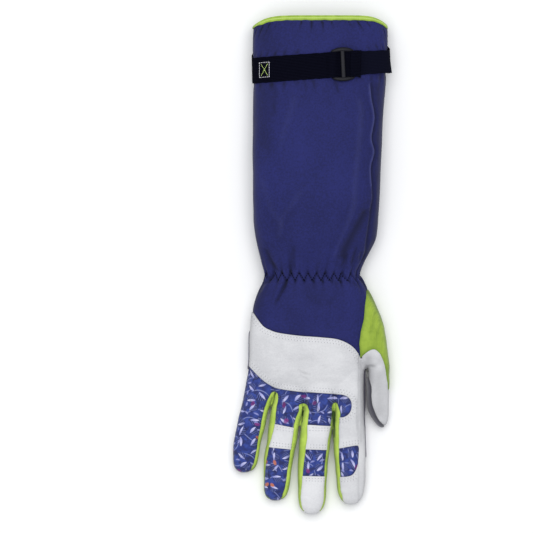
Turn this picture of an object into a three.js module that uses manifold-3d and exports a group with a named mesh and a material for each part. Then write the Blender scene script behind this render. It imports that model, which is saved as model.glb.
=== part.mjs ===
// A long gauntlet work glove for a right hand, lying on its palm: leather palm, fabric back and cuff,
// side strips between the fingers, wear patches, a bound cuff opening with a hang loop, and a webbing
// strap with a slide buckle. Millimetres, +Z up off the surface, fingertips towards -Y, thumb towards +X.
import * as THREE from "three";
import { mergeVertices } from "three/addons/utils/BufferGeometryUtils.js";
import Module from "manifold-3d";

const wasm = await Module();
wasm.setup();

// Driving dimensions
const WALL = 1.5; // fabric and leather
const GAP = 0.3; // between neighbouring pieces
const PATCH = 1.3; // overlaid patches, edge tape and strap webbing
const RISE = PATCH + GAP; // underside of the main shell above the surface
const EDGE_Y = 222.9; // cuff opening, at the middle of its edge
const EDGE_DROOP = 9; // how far that edge falls back at its two sides
const DROOP_FROM_Y = 200;
const WAIST_Y = -9.5; // line of the wrist elastic
const KNUCKLE_Y = -114; // end of the hand's own run, at the roots of the fingers
const TRUNK_SIDES = 44; // its hollow has half as many
const DIGIT_SIDES = 12;
const DIGIT_HOLLOW_SIDES = 8;
const GATHERS = 11;
const GATHER_DEPTH = 1.3;
const SQUARENESS = 2.6; // exponent of the rounded cross-sections
const WIDEST = 0.42; // height of the widest level, as a share of the section's height
const FLATNESS = 1.25; // how much of the underside is pressed flat
const FAR = 300; // beyond the glove in every direction
const DETAIL = 0.06; // steps finer than this are flattened out

function table(columns, rows) {
  return rows.map((row) => Object.fromEntries(columns.map((name, i) => [name, row[i]])));
}

// Cuff and hand in one run, from the opening to the roots of the fingers
const TRUNK = table(
  ["y", "left", "right", "top", "bottom"],
  [
    [EDGE_Y, -52, 65.6, 38, 3.5],
    [210, -52.8, 67.6, 41, 3],
    [197, -53, 67.9, 42, 2.5],
    [182, -52.7, 66.6, 42.4, RISE],
    [165, -52.4, 66, 43.5, RISE],
    [130, -52.7, 63.5, 48, RISE],
    [103, -53.1, 62.4, 49, RISE],
    [66, -53.1, 61, 48, RISE],
    [42, -52.6, 59.7, 45, RISE],
    [25, -50.4, 57.8, 42, 2],
    [13, -48.2, 52.8, 38, 2.6],
    [2, -46, 47, 34.5, 3.4],
    [WAIST_Y, -43.6, 42.8, 31.5, 4.2],
    [-15, -44.6, 46, 32.5, 3.6],
    [-24, -48.4, 49.6, 34, 2.4],
    [-40, -52.9, 50, 35.5, RISE],
    [-60, -54.9, 48.3, 35, RISE],
    [-85, -55.6, 46.9, 32, RISE],
    [-102, -58.2, 46.6, 28.5, RISE],
    [KNUCKLE_Y, -60.4, 46.6, 23, RISE],
  ],
);
const OUTER_LEVELS = [
  EDGE_Y, 205, 165, 130, 100, 70, 44, 24, 10, 0, WAIST_Y, -17, -27, -42, -66, -92, KNUCKLE_Y,
];
const INNER_LEVELS = [EDGE_Y, 205, 165, 100, 44, 24, 10, 0, WAIST_Y, -17, -27, -60, -92, KNUCKLE_Y];

// Soft folds of the cuff's back: lines in plan, with a height above or below the plain surface
const FOLDS = table(
  ["x0", "y0", "x1", "y1", "height", "width"],
  [
    [55, 150, 52, 58, 1.8, 6],
    [50, 50, 27, 2, -2, 6],
    [-36, 152, -31, 126, -1.4, 7],
    [-14, 40, -30, 96, -1, 8],
    [-25, -18, -37, -42, -1.4, 6],
    [22, -20, 33, -44, -1.2, 6],
  ],
);

// Level of the seam between back and palm, along both edges
const SIDE_SEAM = table(
  ["y", "z"],
  [
    [FAR, 18],
    [66, 18],
    [WAIST_Y, 14],
    [-60, 12],
    [KNUCKLE_Y, 11],
    [-FAR, 9],
  ],
);

// Fingers and thumb. Each run ends in a tip rounded off over the length `round`.
const DIGIT_COLUMNS = ["y", "left", "right", "top"];
const LITTLE = {
  tip: -187.4,
  round: 12,
  rows: table(DIGIT_COLUMNS, [
    [-96, -57.6, -31.4, 24],
    [-118, -61.4, -34.7, 23.5],
    [-131, -64.4, -39.2, 22],
    [-146, -67.9, -42.7, 21],
    [-161, -70.6, -46.2, 19.5],
    [-190, -71.2, -51.2, 16],
  ]),
};
const RING = {
  tip: -212.9,
  round: 14,
  rows: table(DIGIT_COLUMNS, [
    [-96, -36, -5.4, 26],
    [-118, -34.3, -6, 26],
    [-128, -36.4, -6.4, 25],
    [-141, -38.1, -10.9, 24],
    [-158, -40.1, -13.6, 22.5],
    [-178, -43.2, -17.6, 20.5],
    [-216, -43.4, -22.6, 16.5],
  ]),
};
const MIDDLE = {
  tip: -224.3,
  round: 13.5,
  rows: table(DIGIT_COLUMNS, [
    [-96, -9, 22.5, 27],
    [-118, -7.7, 21, 27],
    [-129, -7.4, 20, 26.5],
    [-142, -9.6, 18.8, 25.5],
    [-160, -11.3, 16.4, 24],
    [-182, -12.5, 13.9, 22],
    [-228, -12, 11.2, 17],
  ]),
};
const INDEX = {
  tip: -215.6,
  round: 17.5,
  rows: table(DIGIT_COLUMNS, [
    [-96, 18, 46.7, 26],
    [-118, 19, 46.6, 26],
    [-133, 20.3, 46.7, 25],
    [-150, 19.3, 47.4, 24],
    [-170, 20, 48.2, 22.5],
    [-186, 21.6, 48.1, 21],
    [-220, 23.8, 46.4, 17],
  ]),
};
const THUMB = {
  tip: -145,
  round: 11,
  rows: table(DIGIT_COLUMNS, [
    [-12, 18, 40, 22],
    [-23, 20, 50.9, 25],
    [-40, 25, 59.2, 27],
    [-53, 28, 64.2, 27.5],
    [-67, 31, 66.8, 27],
    [-80, 35, 68.4, 26],
    [-90, 39, 69.4, 25],
    [-97, 50.9, 69.8, 24],
    [-110, 50.9, 69.8, 22.5],
    [-126, 51.2, 69.2, 20],
    [-146, 59.2, 69, 15],
  ]),
};
const DIGITS = [LITTLE, RING, MIDDLE, INDEX, THUMB];
const TIP_TURNS = [0, 0.38, 0.68, 0.88]; // rings of a rounded tip, as shares of a quarter turn
const HOLLOW_TIP_TURNS = [0, 0.5, 0.85];

// Value of a column at any y, eased from row to row without running past either
function at(rows, y, column) {
  const last = rows.length - 1;
  if (y >= rows[0].y) return rows[0][column];
  if (y <= rows[last].y) return rows[last][column];
  const i = rows.findIndex((row) => row.y <= y) - 1;
  const slope = (k) => (rows[k + 1][column] - rows[k][column]) / (rows[k + 1].y - rows[k].y);
  const here = slope(i);
  const eased = (other) => (here * other > 0 ? (2 * here * other) / (here + other) : 0);
  const start = i > 0 ? eased(slope(i - 1)) : here;
  const end = i < last - 1 ? eased(slope(i + 1)) : here;
  const span = rows[i + 1].y - rows[i].y;
  const t = (y - rows[i].y) / span;
  const [t2, t3] = [t * t, t * t * t];
  return (
    (2 * t3 - 3 * t2 + 1) * rows[i][column] +
    (t3 - 2 * t2 + t) * span * start +
    (3 * t2 - 2 * t3) * rows[i + 1][column] +
    (t3 - t2) * span * end
  );
}

const signedPower = (value, power) => Math.sign(value) * Math.abs(value) ** power;

// A point of a rounded, flat-bottomed cross-section. `shrink` closes a tip.
function sectionPoint(size, angle, grow, shrink = 1) {
  const middle = (size.left + size.right) / 2;
  const half = ((size.right - size.left) / 2 + grow) * shrink;
  const level = size.bottom + (size.top - size.bottom) * WIDEST;
  const up = (size.top - level + grow) * shrink;
  const down = (level - size.bottom + grow) * Math.sqrt(shrink);
  const across = signedPower(Math.cos(angle), 2 / SQUARENESS);
  const along = signedPower(Math.sin(angle), 2 / SQUARENESS);
  const height = along > 0 ? along * up : -Math.min(1, -along * FLATNESS) * down;
  return new THREE.Vector2(middle + half * across, level + height);
}

// The cross-section at equal steps round its outline, from the thumb side over the back
function outline(size, sides, grow, shrink) {
  const fine = 180;
  const dense = Array.from({ length: fine + 1 }, (_, i) =>
    sectionPoint(size, (i / fine) * 2 * Math.PI, grow, shrink),
  );
  const run = [0];
  for (let i = 1; i <= fine; i += 1) run.push(run[i - 1] + dense[i].distanceTo(dense[i - 1]));
  let k = 0;
  return Array.from({ length: sides }, (_, i) => {
    const target = (run[fine] * i) / sides;
    while (run[k + 1] < target) k += 1;
    return dense[k].clone().lerp(dense[k + 1], (target - run[k]) / (run[k + 1] - run[k]));
  });
}

// Outward unit normals of a closed outline
function outlineNormals(points) {
  return points.map((_, i) => {
    const next = points[(i + 1) % points.length];
    const before = points[(i + points.length - 1) % points.length];
    return new THREE.Vector2(next.y - before.y, before.x - next.x).normalize();
  });
}

function solid(geometry) {
  const bare = geometry.clone();
  bare.deleteAttribute("normal");
  bare.deleteAttribute("uv");
  const merged = mergeVertices(bare, 1e-4);
  const vertProperties = merged.attributes.position.array;
  const triVerts = new Uint32Array(merged.index.array);
  return new wasm.Manifold(new wasm.Mesh({ numProp: 3, vertProperties, triVerts }));
}

// Solid through rings of points, from high y to low y on its outside. It has flat ends, or as a tube
// round an opening it runs on from the last ring to the first.
function loft(rings, tube = false) {
  const sides = rings[0].length;
  const points = rings.flat();
  const faces = [];
  for (let r = 0; r < rings.length - (tube ? 0 : 1); r += 1) {
    const below = ((r + 1) % rings.length) * sides;
    for (let i = 0; i < sides; i += 1) {
      const next = (i + 1) % sides;
      const [a, b, c, d] = [r * sides + i, r * sides + next, below + i, below + next];
      faces.push(a, b, c, b, d, c);
    }
  }
  const addEnd = (first, turned) => {
    const middle = new THREE.Vector3();
    for (const p of points.slice(first, first + sides)) middle.addScaledVector(p, 1 / sides);
    points.push(middle);
    for (let i = 0; i < sides; i += 1) {
      const [a, b] = [first + i, first + ((i + 1) % sides)];
      faces.push(points.length - 1, ...(turned ? [b, a] : [a, b]));
    }
  };
  if (!tube) {
    addEnd(0, true);
    addEnd((rings.length - 1) * sides, false);
  }
  const geometry = new THREE.BufferGeometry().setFromPoints(points);
  geometry.setIndex(faces);
  return solid(geometry);
}

const trunkSize = (y) =>
  Object.fromEntries(["left", "right", "top", "bottom"].map((column) => [column, at(TRUNK, y, column)]));

// How deep the elastic's gathers run, fading away from the wrist line
function gatherDepth(y) {
  const reach = y > WAIST_Y ? 46 : 18;
  return GATHER_DEPTH * Math.max(0, 1 - Math.abs(y - WAIST_Y) / reach);
}

function foldLift(x, y) {
  const here = new THREE.Vector3(x, y, 0);
  return FOLDS.reduce((sum, { x0, y0, x1, y1, height, width }) => {
    const line = new THREE.Line3(new THREE.Vector3(x0, y0, 0), new THREE.Vector3(x1, y1, 0));
    const nearest = line.closestPointToPoint(here, true, new THREE.Vector3());
    return sum + height * Math.exp(-((nearest.distanceTo(here) / width) ** 2));
  }, 0);
}

// How far the opening's edge has fallen back at a point across it
function droop(y, x, size) {
  const share = THREE.MathUtils.smoothstep(y, DROOP_FROM_Y, EDGE_Y);
  const reach = Math.abs((2 * x - size.left - size.right) / (size.right - size.left));
  return EDGE_DROOP * share * Math.min(1, reach) ** 6;
}

function trunkRing(y, grow, end = 0, sides = TRUNK_SIDES) {
  const size = trunkSize(y);
  const points = outline(size, sides, grow);
  const normals = outlineNormals(points);
  return points.map(({ x, y: z }, i) => {
    const gather = gatherDepth(y) * Math.cos((i / sides) * GATHERS * 2 * Math.PI);
    const lift = gather + foldLift(x, y) * Math.max(0, normals[i].y);
    return new THREE.Vector3(x + normals[i].x * lift, y + end - droop(y, x, size), z + normals[i].y * lift);
  });
}

// Cuff and hand, grown or shrunk. `past` runs it out beyond the opening.
function trunk(levels, grow, sides, past) {
  const rings = levels.map((y) => trunkRing(y, grow, 0, sides));
  rings.push(trunkRing(KNUCKLE_Y, grow - 5, -5 - grow, sides));
  if (past) rings.unshift(trunkRing(EDGE_Y, grow, past, sides));
  return loft(rings);
}

function digit({ tip, round, rows }, grow, sides, turns, rowStep) {
  const place = (y, turn) => {
    const [left, right, top] = ["left", "right", "top"].map((column) => at(rows, y, column));
    const size = { left, right, top, bottom: at(TRUNK, y, "bottom") };
    return outline(size, sides, grow, Math.cos(turn)).map((p) => new THREE.Vector3(p.x, y, p.y));
  };
  const shaft = rows.filter(({ y }, i) => y > tip + round + 3 && i % rowStep === 0);
  const rings = shaft.map(({ y }) => place(y, 0));
  for (const share of turns) {
    const turn = (share * Math.PI) / 2;
    rings.push(place(tip + round - (round + grow) * Math.sin(turn), turn));
  }
  return loft(rings);
}

const joined = (start, one) => DIGITS.reduce((sum, each) => sum.add(one(each)), start);
const whole = (grow) =>
  joined(trunk(OUTER_LEVELS, grow, TRUNK_SIDES, 0), (each) =>
    digit(each, grow, DIGIT_SIDES, TIP_TURNS, 1),
  );
const hollow = () =>
  joined(trunk(INNER_LEVELS, -WALL, TRUNK_SIDES / 2, 15), (each) =>
    digit(each, -WALL, DIGIT_HOLLOW_SIDES, HOLLOW_TIP_TURNS, 2),
  );

const pair = ([x, y]) => new THREE.Vector2(x, y);
const smooth = (points, count) =>
  new THREE.SplineCurve(points.map(pair)).getPoints(count).map((p) => [p.x, p.y]);

// A closed plan outline run anticlockwise and moved outward by a distance
function grown(points, distance) {
  const plan = points.map(pair);
  if (THREE.ShapeUtils.isClockWise(plan)) plan.reverse();
  return plan.map((here, i) => {
    const before = plan[(i + plan.length - 1) % plan.length];
    const next = plan[(i + 1) % plan.length];
    const [a, b] = [here.clone().sub(before).normalize(), next.clone().sub(here).normalize()];
    const normal = new THREE.Vector2(a.y + b.y, -a.x - b.x).normalize();
    const spread = Math.max(0.5, normal.x * a.y - normal.y * a.x);
    return here.clone().addScaledVector(normal, distance / spread);
  });
}

function prism(points, grow = 0, low = -20, high = 90) {
  const shape = new THREE.Shape(grown(points, grow));
  const geometry = new THREE.ExtrudeGeometry(shape, { depth: high - low, bevelEnabled: false });
  return solid(geometry.translate(0, 0, low));
}

// A profile in Y and Z drawn out along X
function drawnAcross(shape, from, to, curveSegments = 6) {
  const depth = to - from;
  const geometry = new THREE.ExtrudeGeometry(shape, { depth, bevelEnabled: false, curveSegments });
  const axes = [new THREE.Vector3(0, 1, 0), new THREE.Vector3(0, 0, 1), new THREE.Vector3(1, 0, 0)];
  geometry.applyMatrix4(new THREE.Matrix4().makeBasis(...axes));
  return solid(geometry.translate(from, 0, 0));
}

// Everything below the side seam
function underSeam(raise) {
  const profile = SIDE_SEAM.map(({ y, z }) => [y, z + raise]);
  const shape = new THREE.Shape(grown([...profile, [-FAR, -FAR], [FAR, -FAR]], 0));
  return drawnAcross(shape, -FAR, FAR);
}

const back = (points) => (grow) => prism(points, grow).subtract(underSeam(-grow));
const front = (points) => (grow) => prism(points, grow).intersect(underSeam(grow));
const SEAM_LAP = 0.05; // so that a piece running round the side seam is one body
const around = (backEdge, palmEdge) => (grow) =>
  back(backEdge)(grow).add(front(palmEdge)(grow + SEAM_LAP));

// Edges of the back's pieces, in plan
const KNUCKLE_TOP_EDGE = smooth(
  [
    [-58, -37], [-53.5, -42.8], [-45, -54.5], [-37.8, -59], [-28.8, -61.7], [-10.8, -64.1],
    [7.2, -65.4], [21.6, -67], [30.6, -70.2], [36.9, -74.5], [41.6, -80.6], [44.5, -86],
  ],
  10,
);
const PRINT_TOP_EDGE = smooth(
  [
    [-62, -86], [-56.7, -91.4], [-46.8, -101.8], [-39.2, -107.7], [-30.4, -111.6], [-13, -114.3],
    [4.5, -115.4], [22, -116.7], [28.4, -117.5], [33.3, -120.2], [35.6, -125.2], [35.1, -130.7],
    [32.9, -134.6], [28.4, -137.3], [22, -137.6],
  ],
  15,
);
const INDEX_PRINT_EDGE = smooth(
  [
    [18, -166.4], [24.6, -165.6], [32.9, -164], [40, -162.9], [42.1, -164.5], [42.1, -172],
    [41, -181], [37.2, -188.6], [31.8, -190.9], [25.2, -191.3], [18, -191.4],
  ],
  11,
);
const INDEX_SEAM_X = 41.6; // where the palm leather, brought round the index finger, meets the back

// Middle lines of the gaps between fingers, from above the fork to past the tips
const LITTLE_RING_GAP = [
  [-33.6, -110], [-34.3, -118], [-40, -144], [-42.5, -160], [-46.4, -182], [-47, -230],
];
const RING_MIDDLE_GAP = [
  [-7, -110], [-7, -127], [-10, -146], [-14.5, -178], [-16.4, -200], [-16.6, -230],
];
const MIDDLE_INDEX_GAP = [[20, -110], [20.1, -131], [18.6, -148], [17.6, -185], [17.6, -232]];

function crossing(line, level) {
  const i = line.findIndex(([, y]) => y < level);
  const [[x0, y0], [x1, y1]] = [line[i - 1], line[i]];
  return [x0 + ((x1 - x0) * (level - y0)) / (y1 - y0), level];
}

// A finger's own strip of the plan, from the middle of one gap to the middle of the next.
// Its two ends slant from one y to another.
function fingerZone(leftGap, rightGap, [topLeft, topRight], [lowLeft, lowRight]) {
  const between = (line, high, low) => line.filter(([, y]) => y < high - 1 && y > low + 1);
  return [
    crossing(leftGap, topLeft),
    ...between(leftGap, topLeft, lowLeft),
    crossing(leftGap, lowLeft),
    crossing(rightGap, lowRight),
    ...between(rightGap, topRight, lowRight).reverse(),
    crossing(rightGap, topRight),
  ];
}

// Side strips, from finger to finger. `rise` is how much shows above the end of a gap, and `outer` and
// `inner` are the widths seen on the back down the two fingers, at STRIP_STEPS below it.
const STRIP_STEPS = [4, 28, 48, 84];
const LITTLE_RING = {
  x: -33.2, y: -118, rise: 3.2, half: 3.6, outer: [3.8, 3.4, 2.2, 2.8], inner: [4, 3.2, 0.3, -0.5],
};
const RING_MIDDLE = {
  x: -7.2, y: -128, rise: 2.4, half: 4, outer: [4.5, 4.6, 3, 3.4], inner: [6.3, 6.3, 4.2, 1.8],
};
const MIDDLE_INDEX = {
  x: 20.7, y: -130, rise: 5, half: 3, outer: [0.5, 2.6, 2, 2], inner: [5, 5, 3.4, 2.9],
};
const PALM_INSET = 3; // width of a side strip seen on the palm side
const PALM_FORK = { rise: 3.5, half: 2.3 };

// A side strip runs down one finger, round the fork and up the next.
function sideStrip(outerFinger, innerFinger, fork) {
  const levels = STRIP_STEPS.map((step) => fork.y - step);
  const foot = levels[levels.length - 1] - 60;
  const region = ({ rise, half }, outer, inner) => {
    const left = levels.map((y, i) => [at(outerFinger.rows, y, "right") - outer[i], y]);
    const right = levels.map((y, i) => [at(innerFinger.rows, y, "left") + inner[i], y]);
    return [
      [left[left.length - 1][0], foot],
      ...left.reverse(),
      [fork.x - half, fork.y + rise * 0.6],
      [fork.x, fork.y + rise],
      [fork.x + half, fork.y + rise * 0.6],
      ...right,
      [right[right.length - 1][0], foot],
    ];
  };
  const onPalm = levels.map(() => PALM_INSET);
  return around(region(fork, fork.outer, fork.inner), region(PALM_FORK, onPalm, onPalm));
}

const biggest = (made) =>
  made.decompose().reduce((best, one) => (one.volume() > best.volume() ? one : best));

// Each piece takes its region of what is left of the wall, and the rest keeps a gap to it.
const pieces = new Map();
let wall = whole(0).subtract(hollow());
function carve(name, region) {
  pieces.set(name, biggest(wall.intersect(region(0))));
  wall = wall.subtract(region(GAP));
}

// Thumb panel, wrapping from the back round the outer edge to the palm side
const THUMB_BACK_EDGE = [
  [90, -19.5], [50.5, -19.5], [49.2, -27.5], [47.7, -37], [46.6, -49], [43.8, -60.6], [42.6, -71.4],
  [43.4, -84.5], [47.3, -80.6], [51.3, -77.7], [57.4, -76.8], [61.4, -80.6], [64.8, -88], [67, -98],
  [68.9, -113], [90, -113],
];
const THUMB_FRONT_EDGE = [
  [90, -12], [40, -16.5], [11.8, -21.5], [16.2, -32], [22.5, -41], [30.6, -51.8], [38.7, -60],
  [44, -68], [47.7, -79], [50.6, -93], [54, -104], [57, -113], [90, -113],
];
carve("thumb_panel", around(THUMB_BACK_EDGE, THUMB_FRONT_EDGE));
carve("side_strip_little_ring", sideStrip(LITTLE, RING, LITTLE_RING));
carve("side_strip_ring_middle", sideStrip(RING, MIDDLE, RING_MIDDLE));
carve("side_strip_middle_index", sideStrip(MIDDLE, INDEX, MIDDLE_INDEX));
const CUFF_BACK_END = [[47, -72], [52, -30], [90, -19]];
carve("cuff_back", back([[-90, -37], ...KNUCKLE_TOP_EDGE, ...CUFF_BACK_END, [90, 250], [-90, 250]]));

const KNUCKLE_PRINT_END = [
  [18.6, -145.6], [15, -145.4], [-2, -144.3], [-9.8, -144.6], [-10.4, -147.4], [-15.3, -147.2],
  [-33.3, -143.6], ...LITTLE_RING_GAP.slice(2), [-90, -230],
];
carve("knuckle_print", back([[-90, -86], ...PRINT_TOP_EDGE, ...KNUCKLE_PRINT_END]));
const ringZone = (top, low) => back(fingerZone(LITTLE_RING_GAP, RING_MIDDLE_GAP, top, low));
const middleZone = (top, low) => back(fingerZone(RING_MIDDLE_GAP, MIDDLE_INDEX_GAP, top, low));
carve("ring_pad", ringZone([-138, -138], [-164, -167.2]));
carve("ring_print", ringZone([-150, -150], [-228, -228]));
carve("middle_pad", middleZone([-138, -138], [-166.2, -167.2]));
carve("middle_print", middleZone([-150, -150], [-190.2, -191]));
carve("middle_tip", middleZone([-180, -180], [-229, -229]));
carve("index_print", back(INDEX_PRINT_EDGE));
carve("index_tip", back([[17.6, -178], [17.6, -232], [INDEX_SEAM_X, -232], [INDEX_SEAM_X, -178]]));
carve("knuckle_patch", back([[-90, -30], [-90, -232], [INDEX_SEAM_X, -232], [INDEX_SEAM_X, -30]]));
carve("cuff_front", front([[-90, -21.5], [12, -21.5], [40, -16], [90, -12], [90, 250], [-90, 250]]));
pieces.set("palm", biggest(wall));

// Wear patches and fingertip caps, sewn onto the outside of the palm
const patchLayer = whole(GAP + PATCH).subtract(whole(GAP));
const below = (points, height) => prism(points, 0, -20, height);
const patch = (region) => biggest(patchLayer.intersect(region));
const PATCH_SEAM = [[22.3, -78], [23, -90.5], [26.4, -104], [29.8, -117.5]];
const BAND_EDGE = [
  [-30, -76.5], [-45, -73], [-57, -58], [-70, -54], [-70, -93.5], [-57, -94.5], [-28, -113.5],
  [29.4, -116.5], [26, -104], [22.6, -90.5], [21.9, -76.5],
];
pieces.set("palm_patch", patch(below(BAND_EDGE, 12)));
const BESIDE_THUMB_X = 48.7; // between the patches of the index finger's and the thumb's facing sides
const SIDE_PATCH_EDGE = [
  [BESIDE_THUMB_X, -97], [46.6, -90], [45, -80], [38, -72.5], [30, -72.5], ...PATCH_SEAM, [32.6, -140],
  [36, -174], [BESIDE_THUMB_X, -174],
];
pieces.set("index_side_patch", patch(below(SIDE_PATCH_EDGE, 10)));

// The palm side of one fingertip, between the side strips
const TIP_CAP_HEIGHT = 3.2;
const ROUND_EDGE = -4; // a cap that reaches round the glove's free edge
function tipCap(finger, top, leftInset, rightInset) {
  const levels = [top, (top + finger.tip) / 2, finger.tip - 6];
  const left = levels.map((y) => [at(finger.rows, y, "left") + leftInset, y]);
  const right = levels.map((y) => [at(finger.rows, y, "right") - rightInset, y]);
  return patch(below([...left, ...right.reverse()], TIP_CAP_HEIGHT));
}
pieces.set("index_tip_cap", tipCap(INDEX, -174.6, PALM_INSET, ROUND_EDGE));
pieces.set("middle_tip_cap", tipCap(MIDDLE, -188.8, PALM_INSET, PALM_INSET));
pieces.set("ring_tip_cap", tipCap(RING, -177.8, PALM_INSET, PALM_INSET));
pieces.set("little_tip_cap", tipCap(LITTLE, -151.7, ROUND_EDGE, PALM_INSET));
const THUMB_CAP_EDGE = [[64, -112], [50.2, -116], [50.2, -160], [62.6, -160], [63, -138]];
const THUMB_SIDE_EDGE = [
  [BESIDE_THUMB_X + GAP, -97], [50.6, -100.4], [52.2, -104.9], [53.6, -110.3], [53.6, -119.3],
  [54.4, -126], [56, -131], [59, -137.8], [62.4, -142.4], [64.8, -144.6], [64, -160],
  [BESIDE_THUMB_X + GAP, -160],
];
const thumbRegion = below(THUMB_CAP_EDGE, TIP_CAP_HEIGHT).add(below(THUMB_SIDE_EDGE, 30));
pieces.set("thumb_tip_cap", patch(thumbRegion));

// Edge tape folded over the cuff opening, as a tube through the corners of its section
const TAPE_FOOT = 2.8; // how far the tape reaches down from the wall's edge
const doubled = (ring) => ring.flatMap((p, i) => [p, p.clone().lerp(ring[(i + 1) % ring.length], 0.5)]);
function rim(grow, sides, { up = 0, down = 0 }) {
  const top = trunkRing(EDGE_Y, grow, 0, sides);
  const lower = trunkRing(OUTER_LEVELS[1], grow, 0, sides);
  const ring = top.map((p, i) => p.clone().lerp(lower[i], down / (p.y - lower[i].y)));
  for (const p of ring) p.y += up;
  return sides < TRUNK_SIDES ? doubled(ring) : ring;
}
const outerRim = (grow, where) => rim(grow, TRUNK_SIDES, where);
const innerRim = (grow, where) => rim(grow - WALL, TRUNK_SIDES / 2, where);
const [overEdge, onEdge, foot] = [{ up: RISE }, { up: GAP }, { down: TAPE_FOOT }];
pieces.set(
  "edge_tape",
  loft(
    [
      outerRim(RISE, overEdge),
      outerRim(RISE, foot),
      outerRim(GAP, foot),
      outerRim(GAP, onEdge),
      innerRim(-GAP, onEdge),
      innerRim(-GAP, foot),
      innerRim(-RISE, foot),
      innerRim(-RISE, overEdge),
    ],
    true,
  ),
);

// Places on the cuff's wall are found by y and by a turn, counted in sides of its cross-section.
const wallRings = OUTER_LEVELS.map((y) => trunkRing(y, 0));
function onCuff(y, turn) {
  const upper = OUTER_LEVELS.findLastIndex((level) => level > y);
  const share = (OUTER_LEVELS[upper] - y) / (OUTER_LEVELS[upper] - OUTER_LEVELS[upper + 1]);
  const corner = (k) => {
    const i = (k + TRUNK_SIDES) % TRUNK_SIDES;
    return wallRings[upper][i].clone().lerp(wallRings[upper + 1][i], share);
  };
  const side = Math.floor(turn);
  return corner(side).lerp(corner(side + 1), turn - side).setY(y);
}

function offCuff(y, turn, lift) {
  const along = onCuff(y, turn + 0.5).sub(onCuff(y, turn - 0.5));
  const normal = new THREE.Vector3(along.z, 0, -along.x).normalize();
  return onCuff(y, turn).addScaledVector(normal, lift);
}

// The turn at which the cuff's back passes a given x
function turnAt(x, y) {
  let side = 0;
  while (onCuff(y, side + 1).x > x) side += 1;
  const [before, after] = [onCuff(y, side).x, onCuff(y, side + 1).x];
  return side + (before - x) / (before - after);
}

// Strap round the cuff, over the buckle's side bars and under its middle bar
const STRAP_WIDTH = 23.2;
const STRAP = { y: 184.4, slope: 0.07, step: 6, slack: 3.05, slackAt: 1, slackReach: 2.6, pivotX: 7 };
const BUCKLE = { x: 27.2, y: 179.6, width: 20.6, height: 30.8, slot: 24.2, bar: 3.6, sideBar: 2.8 };
const STRAP_RUN = table(
  ["x", "lift", "layers"],
  [
    [47, 0.4, 1],
    [43.8, 0.5, 1],
    [43, 0.6, 2],
    [38.9, 2.9, 2],
    [34, 2.9, 2],
    [33.2, 2.9, 1],
    [29.8, 0.35, 1],
    [24.6, 0.35, 1],
    [20.6, 2.9, 1],
    [16, 2.9, 1],
    [13.4, 0.4, 1],
    [10, 0.4, 1],
  ],
);
const STRAP_BEND = 0.04; // corners of the cross-section are passed over until they add up to this turn

function bend(turn) {
  const [a, b, c] = [-1, 0, 1].map((step) => onCuff(STRAP.y, turn + step));
  return b.clone().sub(a).angleTo(c.sub(b));
}

function strap() {
  const run = STRAP_RUN.map((row) => ({ ...row, turn: turnAt(row.x, BUCKLE.y) }));
  const [from, to] = [Math.ceil(run[run.length - 1].turn + 0.5), Math.floor(run[0].turn - 0.5)];
  let bent = STRAP_BEND;
  for (let turn = from; turn <= to + TRUNK_SIDES; turn += 1) {
    bent += bend(turn % TRUNK_SIDES);
    if (bent < STRAP_BEND) continue;
    bent = 0;
    const past = Math.abs(turn - STRAP.slackAt);
    const fromSlack = Math.min(past, Math.abs(past - TRUNK_SIDES));
    const slack = STRAP.slack * Math.exp(-((fromSlack / STRAP.slackReach) ** 2));
    run.push({ turn: turn % TRUNK_SIDES, lift: GAP + slack, layers: 1 });
  }
  const line = (edge, outside) =>
    run.map(({ turn, lift, layers }) => {
      const height = Math.sin((turn / TRUNK_SIDES) * 2 * Math.PI);
      const level = STRAP.y - STRAP.step * THREE.MathUtils.clamp(3 * height + 0.8, -1, 1);
      const middle = level + STRAP.slope * (onCuff(level, turn).x - STRAP.pivotX);
      return offCuff(middle + (edge * STRAP_WIDTH) / 2, turn, lift + outside * layers * PATCH);
    });
  return loft([line(1, 1), line(-1, 1), line(-1, 0), line(1, 0)], true);
}
pieces.set("strap", strap());

// Slide buckle: two rails, two low side bars and a raised middle bar
function bar(width, height, low, high, radius = 0) {
  const [x, y] = [width / 2, height / 2];
  const shape = new THREE.Shape();
  shape.moveTo(radius - x, -y);
  if (radius) {
    shape.absarc(x - radius, radius - y, radius, -Math.PI / 2, 0);
    shape.absarc(x - radius, y - radius, radius, 0, Math.PI / 2);
    shape.absarc(radius - x, y - radius, radius, Math.PI / 2, Math.PI);
    shape.absarc(radius - x, radius - y, radius, Math.PI, 1.5 * Math.PI);
  } else {
    shape.lineTo(x, -y).lineTo(x, y).lineTo(-x, y);
  }
  const depth = high - low;
  const geometry = new THREE.ExtrudeGeometry(shape, { depth, bevelEnabled: false, curveSegments: 4 });
  return solid(geometry.translate(0, 0, low));
}

function buckle() {
  const [low, sideTop, barLow, high] = [0.4, 2.1, 2.4, 4.6];
  const frame = bar(BUCKLE.width, BUCKLE.height, low, high, 3);
  const window = bar(BUCKLE.width - 2 * BUCKLE.sideBar, BUCKLE.slot, low - 1, high + 1);
  const overSideBars = bar(BUCKLE.width + 2, BUCKLE.slot, sideTop, high + 1);
  const middle = bar(BUCKLE.bar, BUCKLE.height - 1, barLow, high);
  return frame.subtract(window).subtract(overSideBars).add(middle);
}
pieces.set("buckle", buckle());

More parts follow.
